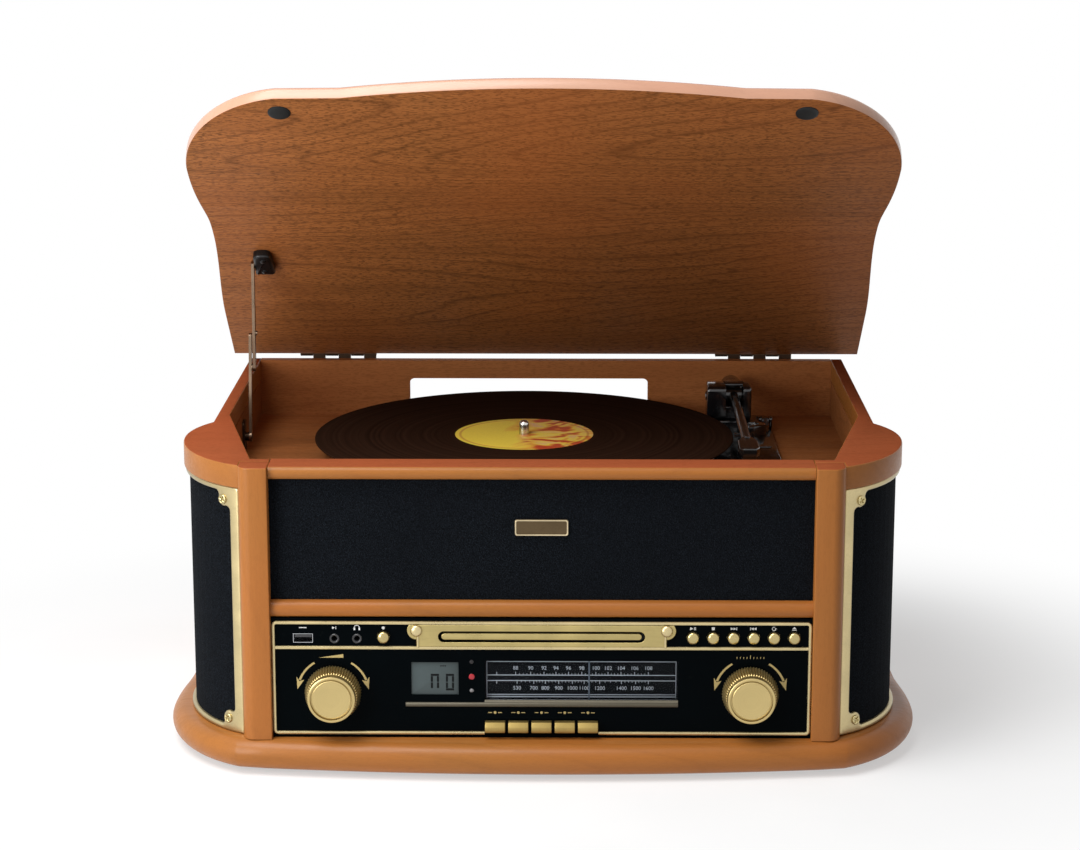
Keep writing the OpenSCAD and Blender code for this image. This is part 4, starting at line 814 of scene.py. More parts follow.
class CENTRE_OT_boards(bpy.types.Operator):
    """Make the lid, plinth, top frame, posts and rails, and finish the cabinet's boards"""
    bl_idname = "centre.boards"
    bl_label = "Boards"

    def execute(self, context):
        look = context.scene.centre_wood
        lid = wood("lid_veneer", look.lid, figure=look.figure, streak=0.6, pores=0.85,
                   rough=0.5, shine=0.1, rings=58.0, slope=2.2, turn=(LID_OPEN, 0, 0),
                   move=(0.31, 0.12, 0.0))
        lacquer = dict(figure=0.14, streak=0.24, pores=0.1, rough=0.4, coat=0.16)
        # the lid's edge: its own lacquered wood, with a painted highlight in its pale tone
        edge = wood("lid_edge_painted_highlight", look.edge, figure=0.1, streak=0.15, pores=0.05,
                    rough=0.4, coat=1.0)
        front = wood("lacquered_front", look.cabinet, **lacquer)
        upright = wood("lacquered_upright", look.cabinet, turn=(0, 90, 0), **lacquer)
        base = wood("lacquered_plinth", look.cabinet, **{**lacquer, "coat": 0.24})
        # painted shade: upward faces of the top frame, upper rail and post tops take this darker,
        # redder copy of the lacquer
        top = wood("lacquered_top_painted_shade", look.cap, figure=0.12, streak=0.2, pores=0.2,
                   rough=0.6, shine=0.0)
        plain = dict(figure=0.3, streak=0.5, pores=0.35, rough=0.55, shine=0.06)
        inside = wood("inside_veneer", look.inside, **plain)
        # painted shade: a darker copy of the inside veneer, for the deck and the side boards
        darker = wood("painted_shade_veneer", shade(look.inside, 0.78), **plain)
        # the lid's top face takes the same painted shade tone
        above = wood("lid_top_painted_shade", look.cap, turn=(LID_OPEN, 0, 0), **lacquer)
        piece("lid_board", lid_mesh, "lid", edge, ["lid"], place=lid_place(),
              facing=[(lid, -2.0, -0.9), (above, 0.5, 2.0)])
        piece("plinth_board", plinth_mesh, "cabinet", base, ["base_plinth"])
        # faces that look up get the painted shade tone
        flat = [(top, 0.9, 2.0)]
        piece("cap_board", cap_mesh, "cabinet", front, ["top_frame"], facing=flat)
        piece("upper_rail", lambda bm: rail_mesh(bm, RAIL_Z, RAIL_T, WELL_FRONT_Y, POST_X - 0.3),
              "cabinet", front, facing=flat)
        joint = TOP_Z - 1.2
        piece("front_posts", lambda bm: post_mesh(bm, FLOOR_Z, joint), "cabinet",
              upright, ["front_rails"])
        piece("post_tops", lambda bm: post_mesh(bm, joint, TOP_Z, 0.7), "cabinet",
              upright, facing=flat)
        piece("middle_rail", lambda bm: rail_mesh(bm, MID_Z, MID_T, POST_BACK_Y, POST_X),
              "cabinet", front)
        dress(inside, "back_wall")
        # the deck and side boards take the painted shade copy
        dress(darker, "deck_board", "side_boards")
        dress(plastic("rear_board", srgb(44, 38, 33), 0.6, 0.3, 0.8), "rear_panel")
        rubber = plastic("foot_rubber", srgb(26, 26, 26), 0.8, 0.3, 1.0)

        def feet(bm):
            for x, y in FEET:
                turned(bm, [(0, 0.4), (4, 0.4), (5, 0), (FOOT_R - 1.2, 0), (FOOT_R, 0.8),
                            (FOOT_R - 0.4, FOOT_H), (0, FOOT_H)], (x, y, 0))
        piece("soft_feet", feet, "cabinet", rubber, ["rubber_feet"])
        return {"FINISHED"}


# Grilles and trims

PER_DEGREE = 1.4    # millimetres of the trim's flat outline for each degree of the corner


def on_corner(angle, out, z):
    """A point on the right corner at an angle from the side, and the way out of it there."""
    rx, ry = CORNER_SIDE + out, (CORNER_SIDE if angle > 0 else CORNER_FRONT) + out
    a = math.radians(angle)
    normal = Vector((math.cos(a) / rx, math.sin(a) / ry, 0)).normalized()
    return Vector((CORNER_X + rx * math.cos(a), CORNER_Y + ry * math.sin(a), z)), normal


def trim_mesh(bm):
    """Frame of the curved grille, with a lug for a screw in each corner."""
    front, left, right_x, rear = (a * PER_DEGREE for a in (-65.0, -59.2, 28.6, 34.3))
    low, high = FLOOR_Z + TRIM_W, CAP_Z - TRIM_W
    c = LUG_IN - TRIM_W
    bite = ([(0, c + 7.6), (0.3, c + 6.3), (1.2, c + 5.2)]
            + [(c + LUG_R * math.cos(math.radians(t)), c + LUG_R * math.sin(math.radians(t)))
               for t in range(115, -26, -20)]
            + [(c + 5.2, 1.2), (c + 6.3, 0.3), (c + 7.6, 0)])
    hole = ([(left + p, low + q) for p, q in bite]
            + [(right_x - p, low + q) for p, q in bite[::-1]]
            + [(right_x - p, high - q) for p, q in bite]
            + [(left + p, high - q) for p, q in bite[::-1]])
    outside = box_outline(front, rear, FLOOR_Z, CAP_Z)

    def right(b):
        prism(b, [dense(outside, 3.0), dense(hole, 3.0)], "y", -CLOTH_IN, TRIM_T - CLOTH_IN,
              0.0, 1.7, 5)
        for v in b.verts:
            v.co = on_corner(v.co.x / PER_DEGREE / MM, v.co.y / MM, v.co.z / MM)[0] * MM

    mirrored(bm, right)


def screw_head(bm):
    """A domed screw head with a crossed recess, its axis along Z."""
    head, half, reach = circle_outline(0, 0, 3.3, 48), 0.42, 2.0
    cross = [(p * math.cos(a) - q * math.sin(a), p * math.sin(a) + q * math.cos(a))
             for a in full_turn(4) for p, q in ((half, -half), (reach, -half), (reach, half))]
    prism(bm, [head, cross], "z", 0.3, 1.3, 0.0, 0.8, 4)
    prism(bm, [head], "z", -1.0, 0.3)


def screws_mesh(bm):
    """The eight screws of the trims."""
    def right(b):
        for number, angle in enumerate(LUG_ANGLES):
            for z in (FLOOR_Z + LUG_IN, CAP_Z - LUG_IN):
                at, normal = on_corner(angle, TRIM_T - CLOTH_IN, z)
                turn = normal.to_track_quat("Z", "Y").to_matrix().to_4x4()
                spin = Matrix.Rotation(math.radians(25 + 31 * number + z), 4, "Z")
                placed(b, Matrix.Translation(at * MM) @ turn @ spin, screw_head)

    mirrored(bm, right)


class CENTRE_OT_grilles(bpy.types.Operator):
    """Cover the grilles in cloth and make the badge plate and the gilt corner trims"""
    bl_idname = "centre.grilles"
    bl_label = "Grilles and trims"

    def execute(self, context):
        look, gilt = context.scene.centre_cloth, context.scene.centre_gilt
        weave = cloth("speaker_cloth", look.colour, look.thread)
        dress(weave, "front_grille", "side_cloths")
        trim = metal("pale_gilt", gilt.trim, 0.34, 0.85, coat=0.2)
        piece("corner_trims", trim_mesh, "cabinet", trim, ["side_trims"])
        bronze = metal("badge_bronze", srgb(96, 80, 58), 0.4, 0.9)
        pale = metal("badge_rim", srgb(214, 196, 160), 0.35, 0.9)

        def badge(half, high, r):
            return box_outline(-half, half, BADGE_Z - high, BADGE_Z + high, r)

        def plate(bm):
            prism(bm, [badge(17.5, 5.5, 1.5)], "y", BADGE_Y - 1.2, BADGE_Y, 0.3)

        def rim(bm):
            prism(bm, [badge(17.3, 5.3, 1.4), badge(16.4, 4.4, 1.0)], "y", BADGE_Y - 1.6,
                  BADGE_Y - 1.1, 0.2, 0.0, 2)
        piece("bare_plate", plate, "cabinet", bronze, ["badge_plate"])
        piece("bare_plate_rim", rim, "cabinet", pale)
        piece("trim_screw_heads", screws_mesh, "cabinet",
              metal("trim_screw", srgb(206, 190, 140), 0.28, 0.9), ["trim_screws"])
        return {"FINISHED"}


# Control panel

def frame_mesh(bm):
    """Gilt line round the control panel and the line under the disc slot."""
    half = LINE_W / 2
    x0, x1 = -FRAME_HALF + half, FRAME_HALF - half
    z0, z1 = FRAME_LOW + half, FRAME_HIGH - half
    keys = 2 * KEY_PITCH + KEY_W / 2 + 0.3
    bead(bm, [(keys, z0)] + box_outline(x0, x1, z0, z1, 2.2) + [(-keys, z0)])
    inner = FRAME_HALF - LINE_W + 0.2
    bead(bm, [(-inner, LINE_Z), (inner, LINE_Z)])


def cd_plate_mesh(bm):
    """Plate round the disc slot, with a lobe for each boss."""
    low, high = LINE_Z + LINE_W / 2 - 0.2, FRAME_HIGH - LINE_W - 0.05
    lobe, wide = 6.0, BOSS_X + 4.66
    outline = ([(-BOSS_X, low), (BOSS_X, low), (BOSS_X, BOSS_Z - lobe)]
               + arc(BOSS_X, BOSS_Z, lobe, lobe, -78, 39, 10) + [(wide, high), (-wide, high)]
               + arc(-BOSS_X, BOSS_Z, lobe, lobe, 141, 258, 10) + [(-BOSS_X, BOSS_Z - lobe)])
    slot = box_outline(-67.7, 67.7, TRAY_Z - 3.7, TRAY_Z + 3.7, 3.68, 8)
    prism(bm, [outline, slot], "y", FACE_Y - GOLD_T, FACE_Y, 0.35)


def boss_mesh(bm):
    """Domed bosses beside the disc slot, each over a short bar."""
    y = FACE_Y - GOLD_T
    for side in (-1, 1):
        turned(bm, [(3.9, 0), (3.85, 0.9), (3.5, 1.5), (2.7, 2.1), (1.5, 2.5), (0, 2.7)],
               (side * BOSS_X, y, BOSS_Z), "y", 40, -1)
        x = side * (BOSS_X - 1)
        rod(bm, (x, y, LINE_Z + 0.4), (x, y, TRAY_Z + 1.6), 0.8, 16)


def arc_arrow(bm, x, z, side):
    """A curved arrow round a knob, on one side, printed on the panel."""
    r, width = 23.4, 1.5

    def way(angle):
        return angle if side > 0 else 180 - angle
    start, neck, tip = way(59), way(21), math.radians(way(5))
    outer = arc(x, z, r + width * 0.5, r + width * 0.5, start, neck, 16)
    inner = arc(x, z, r - width * 0.5, r - width * 0.3, neck, start, 16)
    base, notch = math.radians(way(24)), math.radians(way(19))
    printed(bm, outer + inner)
    printed(bm, [(x + q * math.cos(a), z + q * math.sin(a)) for q, a in
                 ((r - 2.6, base), (r, notch), (r + 2.8, base), (r + 0.2, tip))])


def knob_print_mesh(bm):
    """Gilt print round the knobs and over the keys."""
    for x in (-KNOB_X, KNOB_X):
        for side in (-1, 1):
            arc_arrow(bm, x, KNOB_Z, side)
    low = KNOB_Z + 23.8
    printed(bm, [(-KNOB_X - 9, low), (-KNOB_X + 7, low), (-KNOB_X + 7, low + 2.4)])
    for i in range(9):
        x = KNOB_X - 9.2 + i * 2.2
        printed(bm, box_outline(x, x + 0.4, low, low + (2.4 if i == 4 else 1.2)))
    z = KEY_Z + KEY_H + 5.6
    for i in range(-2, 3):
        x = i * KEY_PITCH
        printed(bm, circle_outline(x, z, 0.9, 16))
        for x0 in (x - 4.5, x + 2):
            printed(bm, box_outline(x0, x0 + 2.5, z - 0.25, z + 0.25))


def white_print_mesh(bm):
    """Plain symbols over the buttons and sockets."""
    z = BUTTON_Z + 6.0

    def bar(x0, x1, z0=z - 1.0, z1=z + 1.0):
        printed(bm, box_outline(x0, x1, z0, z1))

    def wedge(x, way, size=1.0):
        printed(bm, [(x - way * size, z - size), (x + way * size, z), (x - way * size, z + size)])

    b = BUTTONS
    wedge(b[1] - 0.8, 1)
    bar(b[1] + 0.7, b[1] + 1.1)
    bar(b[1] + 1.5, b[1] + 1.9)
    bar(b[2] - 1, b[2] + 1)
    for x, way in ((b[3], 1), (b[4], -1)):
        wedge(x - 0.9, way, 0.9)
        wedge(x + 0.9, way, 0.9)
        bar(x + way * 2.1 - 0.2, x + way * 2.1 + 0.2)
    printed(bm, arc(b[5], z, 1.4, 1.4, 60, 330, 14) + arc(b[5], z, 1.0, 1.0, 330, 60, 14))
    wedge(b[5] + 1.2, 1, 0.6)
    printed(bm, [(b[6] - 1.5, z - 0.2), (b[6] + 1.5, z - 0.2), (b[6], z + 1.3)])
    bar(b[6] - 1.5, b[6] + 1.5, z - 1.1, z - 0.7)
    printed(bm, circle_outline(b[0], z, 1.0, 20))
    line_in, phones = JACKS
    printed(bm, arc(phones, z, 1.9, 1.9, 0, 180, 12) + arc(phones, z, 1.5, 1.5, 180, 0, 12))
    for s in (-1, 1):
        bar(phones + s * 1.6 - 0.5, phones + s * 1.6 + 0.5, z - 1.6, z + 0.2)
    wedge(line_in - 0.5, 1, 0.9)
    bar(line_in + 0.8, line_in + 1.2)
    bar(USB_X - 2.5, USB_X + 2.5, z - 0.25, z + 0.25)


class CENTRE_OT_panel(bpy.types.Operator):
    """Finish the control panel with its gilt frame, the disc slot's plate and plain symbols"""
    bl_idname = "centre.panel"
    bl_label = "Control panel"

    def execute(self, context):
        look, gilt = context.scene.centre_panel, context.scene.centre_gilt
        dress(plastic("panel_black", look.panel, 0.2, 0.02, 0.05, 0.1), "fascia_panel")
        trim = metal("frame_gilt", gilt.trim, 0.3, 0.85, coat=0.2)
        plate = metal("plate_gilt", gilt.plate, 0.36, 0.85,
                      brushed=(60, 1500, 1500))
        piece("panel_frame", frame_mesh, "cabinet", trim, ["fascia_frame"])
        piece("disc_plate", cd_plate_mesh, "cabinet", plate, ["cd_plate"])
        piece("disc_plate_bosses", boss_mesh, "cabinet", trim)
        gilt_ink = plastic("gilt_ink", look.print_gilt, 0.5, 0.3)
        white_ink = plastic("white_ink", srgb(214, 214, 212), 0.5, 0.3)
        piece("knob_print", knob_print_mesh, "cabinet", gilt_ink)
        piece("button_print", white_print_mesh, "cabinet", white_ink)
        return {"FINISHED"}


def tray_mesh(bm):
    """Disc tray with a round hollow for the disc."""
    rect = box_outline(-63.9, 63.9, -166.6, -20.0, 2.0)
    hub, disc = (circle_outline(0, DISC_Y, r, n) for r, n in ((18, 48), (60.5, 96)))
    prism(bm, [rect, hub], "z", TRAY_Z - 2.4, TRAY_Z - 0.4)
    prism(bm, [rect, disc], "z", TRAY_Z - 0.4, TRAY_Z + 2.2, 0.0, 0.5, 2)


def tray_front_mesh(bm):
    """Front of the disc tray, which closes the slot."""
    block(bm, "y", -65.7, 65.7, TRAY_Z - 2.2, TRAY_Z + 2.2, FACE_Y - 0.6, FACE_Y + 3.4, 2.18,
          0.6, fine=8)


class CENTRE_OT_disc_player(bpy.types.Operator):
    """Make the disc tray and finish its mechanism"""
    bl_idname = "centre.disc_player"
    bl_label = "Disc player"

    def execute(self, context):
        gilt = context.scene.centre_gilt
        front = metal("tray_gilt", gilt.plate, 0.32, 0.85, brushed=(60, 1500, 1500))
        body = plastic("tray_black", srgb(30, 31, 34), 0.4, 0.4, 0.4)
        piece("disc_tray_front", tray_front_mesh, "disc_tray", front, ["cd_tray"])
        piece("disc_tray_body", tray_mesh, "disc_tray", body)
        dress(metal("mechanism_steel", srgb(96, 98, 102), 0.45, 0.6), "cd_mechanism")
        return {"FINISHED"}


# Where the dial's marks stand, in the photograph's own measure along the dial
FM_MARKS = {"88": 515.4, "90": 530.5, "92": 543.8, "94": 555.8, "96": 568.4, "98": 581.7,
            "100": 595.8, "102": 608.0, "104": 621.0, "106": 634.6, "108": 648.4}
AM_MARKS = {"530": 516.8, "700": 533.6, "800": 545.2, "900": 558.6, "1000": 572.2,
            "1100": 584.1, "1200": 599.7, "1400": 621.4, "1500": 635.7, "1600": 648.4}
FIRST_MARK = 496.4


def across(mark):
    """X on the dial of a mark's place along it."""
    return (mark - 541.4) / 1.5228


def dial_print_mesh(bm):
    """Lines, marks and numbers of the dial."""
    def tick(x, z0, z1, width=0.4):
        printed(bm, box_outline(x - width / 2, x + width / 2, min(z0, z1), max(z0, z1)), SCALE_Y)

    left, right = DIAL_X - DIAL_W / 2 + 1.4, DIAL_X + DIAL_W / 2 - 1.4
    for z, width in ((74.6, 0.5), (65.3, 0.5), (61.5, 0.5), (51.9, 0.5), (50.4, 0.8)):
        printed(bm, box_outline(left, right, z - width / 2, z + width / 2), SCALE_Y)
    tick(left, 49.4, 74.9)
    tick(right, 49.4, 74.9)
    for marks, line, way, z_text in ((FM_MARKS, 65.3, 1, 70.1), (AM_MARKS, 61.5, -1, 56.3)):
        places = [across(mark) for mark in marks.values()]
        for text, x in zip(marks, places):
            tick(x, line, line + way * 2.2)
            dial_figure(bm, text, x, z_text)
        for a, b in zip(places, places[1:]):
            for k in (1, 2, 3):
                tick(a + (b - a) * k / 4, line, line + way * 1.2, 0.3)
        tick(across(FIRST_MARK), line, line + way * 2.2)


def window_mesh(bm):
    """Clear pane over the dial."""
    block(bm, "y", DIAL_X - DIAL_W / 2 + 0.05, DIAL_X + DIAL_W / 2 - 0.05,
          DIAL_Z - DIAL_H / 2 + 3.3, DIAL_Z + DIAL_H / 2 - 0.05, FACE_Y, FACE_Y + 1.2, 0.6, 0.2,
          0.0, 2)


def ledge_mesh(bm):
    """Ledge under the display and the dial, and the slope behind it."""
    low = DIAL_Z - DIAL_H / 2
    right = DIAL_X + DIAL_W / 2

    def bar(outline, x0, *rounds):
        prism(bm, [[(FACE_Y + y, low + z) for y, z in outline]], "x", x0, right, *rounds)
    bar([(0, -1.2), (0, 1.6), (-0.5, 1.6), (-1.1, 1.2), (-1.4, 0.6), (-1.4, -0.6), (-1.0, -1.2)],
        right - DIAL_W - 52, 0.3, 0.3, 2)
    bar([(0.9, 1.5), (0.9, 3.2), (0.3, 3.2), (-0.9, 1.8), (-0.9, 1.5)], right - DIAL_W)


def digit(bm, x, z, bars, y):
    """A figure of bars on the display, a at the top and the others clockwise after it."""
    w, h, t, gap = 2.7, 5.7, 1.4, 0.25
    places = {"a": (-w, w, h - t, h), "d": (-w, w, -h, -h + t),
              "b": (w - t, w, gap, h - t - 0.2), "c": (w - t, w, -h + t + 0.2, -gap),
              "f": (-w, -w + t, gap, h - t - 0.2), "e": (-w, -w + t, -h + t + 0.2, -gap)}
    for bar in bars:
        x0, x1, z0, z1 = places[bar]
        block(bm, "y", x + x0, x + x1, z + z0, z + z1, y - 0.1, y, 0.3, fine=2)


class CENTRE_OT_dial(bpy.types.Operator):
    """Make the dial, its pointer and the display with its lamps"""
    bl_idname = "centre.dial"
    bl_label = "Dial and display"

    def execute(self, context):
        look = context.scene.centre_panel
        ink = plastic("dial_ink", look.print_pale, 0.5, 0.3)
        dress(plastic("dial_back", srgb(7, 9, 13), 0.6, 0.1), "dial_scale")
        piece("dial_print", dial_print_mesh, "cabinet", ink)
        glass = clear_glass("dial_glass", (0.86, 0.88, 0.9))
        piece("dial_pane", window_mesh, "cabinet", glass, ["dial_window"])
        grey = metal("ledge_grey", srgb(86, 80, 66), 0.45, 0.5)
        piece("dial_ledge", ledge_mesh, "cabinet", grey)
        dress(plastic("needle", srgb(120, 128, 140), 0.4, 0.3), "dial_pointer")

        x, z, y = DISPLAY_X, DISPLAY_Z, FACE_Y + 0.8
        wide, high = DISPLAY_W / 2, DISPLAY_H / 2

        def screen(bm):
            block(bm, "y", x - wide, x + wide, z - high, z + high, y, BOARD_Y - 4, 0.4, 0.3, 0.0,
                  2)
            block(bm, "y", x - 10, x + 10, z - 6, z + 6, BOARD_Y - 4, BOARD_Y)

        def figures(bm):
            digit(bm, x, z - 2.6, "abcef", y)
            digit(bm, x + 9.9, z - 2.6, "abcdef", y)
            for step in (3.6, 5.0, 6.4):
                block(bm, "y", x + step, x + step + 0.9, z + 8.2, z + 8.9, y - 0.1, y)

        def lamp(bm, z, r):
            turned(bm, [(1.5, -18), (1.5, -0.2), (r, -0.2), (r, 0), (r * 0.87, 0.35),
                        (r * 0.55, 0.55), (0, 0.6)], (LAMPS_X, FACE_Y, z), "y", 28, -1)
        piece("display_screen", screen, "cabinet",
              liquid_crystal("display_back", look.display), ["display"])
        piece("display_figures", figures, "cabinet",
              plastic("display_ink", srgb(16, 19, 20), 0.5, 0.1))
        for name, up, r, finish in (
                ("lamp_sensor", 14.4, 1.5, plastic("lamp_dark", srgb(26, 25, 27), 0.2, 0.4)),
                ("lamp_power", 4.1, 2.0, plastic("lamp_red", srgb(168, 34, 44), 0.15, 0.5)),
                ("lamp_stereo", -5.1, 1.1, plastic("lamp_pale", srgb(132, 130, 132), 0.2, 0.5))):
            piece(name, lambda bm: lamp(bm, DIAL_Z + up, r), "cabinet", finish)
        return {"FINISHED"}


# Knobs, buttons, keys and sockets

def knob_mesh(bm, x):
    """A knob with a ribbed skirt, a raised rim, a fine groove and a flat face."""
    steps, ribs = 480, 60
    levels = [(0.0, 18.1, 0.3), (0.5, 18.8, 1.3), (9.8, 17.1, 1.3), (10.8, 16.5, 0.8),
              (11.1, 15.9), (11.6, 15.8), (14.9, 15.7), (15.6, 15.5), (15.95, 15.0),
              (16.0, 14.5), (15.9, 13.95), (15.6, 13.8), (14.0, 13.65), (14.0, 12.95),
              (15.3, 12.8), (15.5, 12.5), (15.3, 6.0)]

    def ring(depth, r, rib=0.0):
        return [bm.verts.new(Vector((x + q * math.cos(a), FACE_Y - 0.8 - depth,
                                     KNOB_Z + q * math.sin(a))) * MM)
                for a, q in ((a, r - rib * (1 - abs(math.cos(a * ribs / 2))))
                             for a in full_turn(steps))]
    rings = [ring(*level) for level in levels]
    bridge(bm, rings + [[bm.verts.new(Vector((x, FACE_Y - 0.8 - 15.2, KNOB_Z)) * MM)]])
    rod(bm, (x, FACE_Y - 0.8, KNOB_Z), (x, BOARD_Y - 3, KNOB_Z), 3.0, 32)


def button_mesh(bm, x):
    """A domed round button with its collar and stem."""
    r, dome, proud = 3.9, 1.9, 2.6
    profile = [(0, -proud - 3.8), (r, -proud - 3.8), (r, 0)]
    for k in range(1, 8):
        t = math.radians(90 * k / 8)
        profile.append((r * math.cos(t), dome * math.sin(t)))
    profile.append((0, dome))
    turned(bm, profile, (x, FACE_Y - proud, BUTTON_Z), "y", 48, -1)
    turned(bm, [(0, 0), (4.9, 0), (4.9, 1.0), (0, 1.0)], (x, INNER_Y + 0.3, BUTTON_Z), "y", 32)
    rod(bm, (x, INNER_Y + 1.3, BUTTON_Z), (x, BOARD_Y - 5.8, BUTTON_Z), 2.0)


def key_mesh(bm, x):
    """A key with a sloped front and its stem."""
    front, back = FACE_Y - 5.4, INNER_Y + 1
    top = KEY_Z + KEY_H
    outline = [(back, KEY_Z), (back, top), (front + 1.9, top), (front + 1.5, top - 0.15),
               (front + 0.15, top - 2.9), (front, top - 3.3), (front, KEY_Z + 0.8),
               (front + 0.2, KEY_Z + 0.25), (front + 0.7, KEY_Z)]
    prism(bm, [outline], "x", x - KEY_W / 2, x + KEY_W / 2, 0.45, 0.45)
    stem = KEY_Z + KEY_H / 2 + 2
    rod(bm, (x, back, stem), (x, BOARD_Y - 4.3, stem), 2.0)


class CENTRE_OT_knobs(bpy.types.Operator):
    """Make the knobs, the round buttons and the keys"""
    bl_idname = "centre.knobs"
    bl_label = "Knobs, buttons and keys"

    def execute(self, context):
        gilt = context.scene.centre_gilt
        for name, x, body in (("volume", -KNOB_X, "volume"), ("tuning", KNOB_X, "tuning")):
            finish = gilt_face(name + "_gilt", gilt.knob, (x, KNOB_Z))
            piece(name + "_dial_knob", lambda bm: knob_mesh(bm, x), body, finish,
                  [name + "_knob"])
        shiny = metal("button_gilt", gilt.button, 0.2, 0.9, grime=0.2)
        for i, x in enumerate(BUTTONS, 1):
            piece(f"press_button_{i}", lambda bm: button_mesh(bm, x), f"button_{i}",
                  shiny, [f"round_button_{i}"])
        satin = metal("key_gilt", srgb(166, 143, 84), 0.45, 0.85,
                      brushed=(1500, 1500, 60))
        for i in range(1, 6):
            piece(f"press_key_{i}", lambda bm: key_mesh(bm, (i - 3) * KEY_PITCH),
                  f"piano_key_{i}", satin, [f"key_{i}"])
        return {"FINISHED"}


def usb_mesh(bm):
    """Shell of the USB socket."""
    def outline(half, high, r):
        return box_outline(USB_X - half, USB_X + half, USB_Z - high, USB_Z + high, r, 3)
    prism(bm, [outline(6.5, 3.1, 0.4), outline(6.1, 2.7, 0.3)], "y", FACE_Y - 0.3, USB_BACK_Y,
          0.15, 0.0, 2)
    prism(bm, [outline(6.5, 3.1, 0.4)], "y", USB_BACK_Y, BOARD_Y)


def tongue_mesh(bm):
    """Tongue inside the USB socket."""
    block(bm, "y", USB_X - 5.5, USB_X + 5.5, USB_Z + 0.3, USB_Z + 2.1, FACE_Y + 1, USB_BACK_Y,
          0.0, 0.2)


def jack_mesh(bm):
    """Both round sockets."""
    for x in JACKS:
        turned(bm, [(1.8, -16), (1.8, -0.2), (2.0, 0.35), (2.4, 0.6), (2.9, 0.6), (3.2, 0.3),
                    (3.2, -3), (4.6, -3), (4.6, -18), (0, -18), (0, -16), (1.8, -16)],
               (x, FACE_Y, JACK_Z), "y", 40, -1)


class CENTRE_OT_sockets(bpy.types.Operator):
    """Make the front sockets and finish the rear ones and what is inside"""
    bl_idname = "centre.sockets"
    bl_label = "Sockets and insides"

    def execute(self, context):
        bright = metal("socket_bright", srgb(196, 198, 202), 0.22, 1.0, grime=0.2)
        piece("usb_shell", usb_mesh, "cabinet", bright, ["front_sockets"])
        piece("usb_tongue", tongue_mesh, "cabinet",
              plastic("tongue_dark", srgb(60, 60, 62), 0.4, 0.4))
        piece("jack_rings", jack_mesh, "cabinet",
              plastic("jack_black", srgb(46, 46, 48), 0.25, 0.5))
        dress(metal("rear_socket_bright", srgb(180, 180, 184), 0.28, 1.0), "rear_sockets")
        dress(plastic("board_green", srgb(42, 92, 58), 0.35, 0.5), "circuit_boards")
        dress(metal("control_steel", srgb(190, 190, 194), 0.3, 1.0), "rotary_controls")
        dress(metal("core_iron", srgb(92, 92, 96), 0.5, 0.8, brushed=(40, 40, 1800)),
              "transformer")
        dress(plastic("cone_paper", srgb(36, 36, 38), 0.75, 0.3, 1.0), "speakers")
        return {"FINISHED"}


# Turntable and arm

def platter_mesh(bm):
    """Platter, hollow below, with a groove round its edge."""
    top, low = MAT_Z - DECK_Z, 3.6
    turned(bm, [(8.0, 2.0), (8.0, top - 3), (51, top - 3), (51, low + 1), (55, low + 1),
                (55, top - 3), (97, top - 3), (97, low), (99.2, low), (100, low + 0.8),
                (100, 6.0), (99.6, 6.4), (99.6, 7.2), (100, 7.6), (100, top - 1.0),
                (99.6, top - 0.3), (98.8, top), (3.6, top), (3.6, 2.0), (8.0, 2.0)],
           (SPINDLE_X, SPINDLE_Y, DECK_Z), "z", 128)


def spindle_mesh(bm):
    """Spindle with a rounded top."""
    turned(bm, [(0, -21), (3.6, -21), (3.6, 16.2), (3.55, 16.2), (3.55, 23.4), (3.3, 24.4),
                (2.8, 25.4), (2.0, 26.1), (0, 26.2)], (SPINDLE_X, SPINDLE_Y, DECK_Z), "z", 40)


def record_mesh(bm):
    """Record with its lip, bands of grooves and a recess for the label."""
    t, r, label_r, hole_r, rings = 1.6, 151.0, 50.0, 3.65, 9
    profile = [(hole_r, 0), (146, 0), (150.2, 0.15), (r, 0.6), (r, 1.0), (150.4, 1.45),
               (148.6, 1.6), (147.0, 1.52)]
    for outer, inner in ((145.8, 126.0), (124.6, 108.5), (107.1, 92.0), (90.6, 74.5),
                         (73.1, 60.0)):
        profile.append((outer + 0.5, 1.57))
        profile += [(outer + (inner - outer) * k / rings, 1.535 if k % 2 else 1.55)
                    for k in range(rings)]
        profile.append((inner, 1.57))
    profile += [(56.0, 1.57), (54.0, 1.54), (51.0, t), (label_r, t), (label_r, t - 0.3),
                (hole_r, t - 0.3), (hole_r, 0)]
    turned(bm, profile, (SPINDLE_X, SPINDLE_Y, RECORD_Z - t), "z", 192)


class CENTRE_OT_turntable(bpy.types.Operator):
    """Make the platter, the spindle and the record, and finish their drive"""
    bl_idname = "centre.turntable"
    bl_label = "Turntable and record"

    def execute(self, context):
        look = context.scene.centre_record
        piece("platter_dish", platter_mesh, "turntable",
              metal("platter_grey", srgb(70, 70, 74), 0.35, 0.8), ["platter"], 40)
        bright = metal("spindle_bright", srgb(214, 212, 206), 0.16, 1.0, grime=0.1)
        piece("spindle_pin", spindle_mesh, "turntable", bright)
        piece("long_player", record_mesh, "turntable",
              # the record's colour is a painted reflection, as it has no reflection of its own
              vinyl("record_vinyl_painted_reflection", look.vinyl, look.grooves), ["record"], 20)
        dress(label_paper("label_paper", look.yellow, look.red), "record_label")
        dress(plastic("mat_felt", srgb(30, 30, 32), 0.9, 0.2, 1.0), "slip_mat")
        dress(metal("pulley_brass", srgb(206, 170, 96), 0.25, 1.0), "motor_pulley")
        dress(plastic("belt_rubber", srgb(20, 20, 20), 0.7, 0.3), "drive_belt")
        dress(metal("motor_steel", srgb(176, 178, 182), 0.3, 1.0), "motor", "platter_bearing")
        return {"FINISHED"}


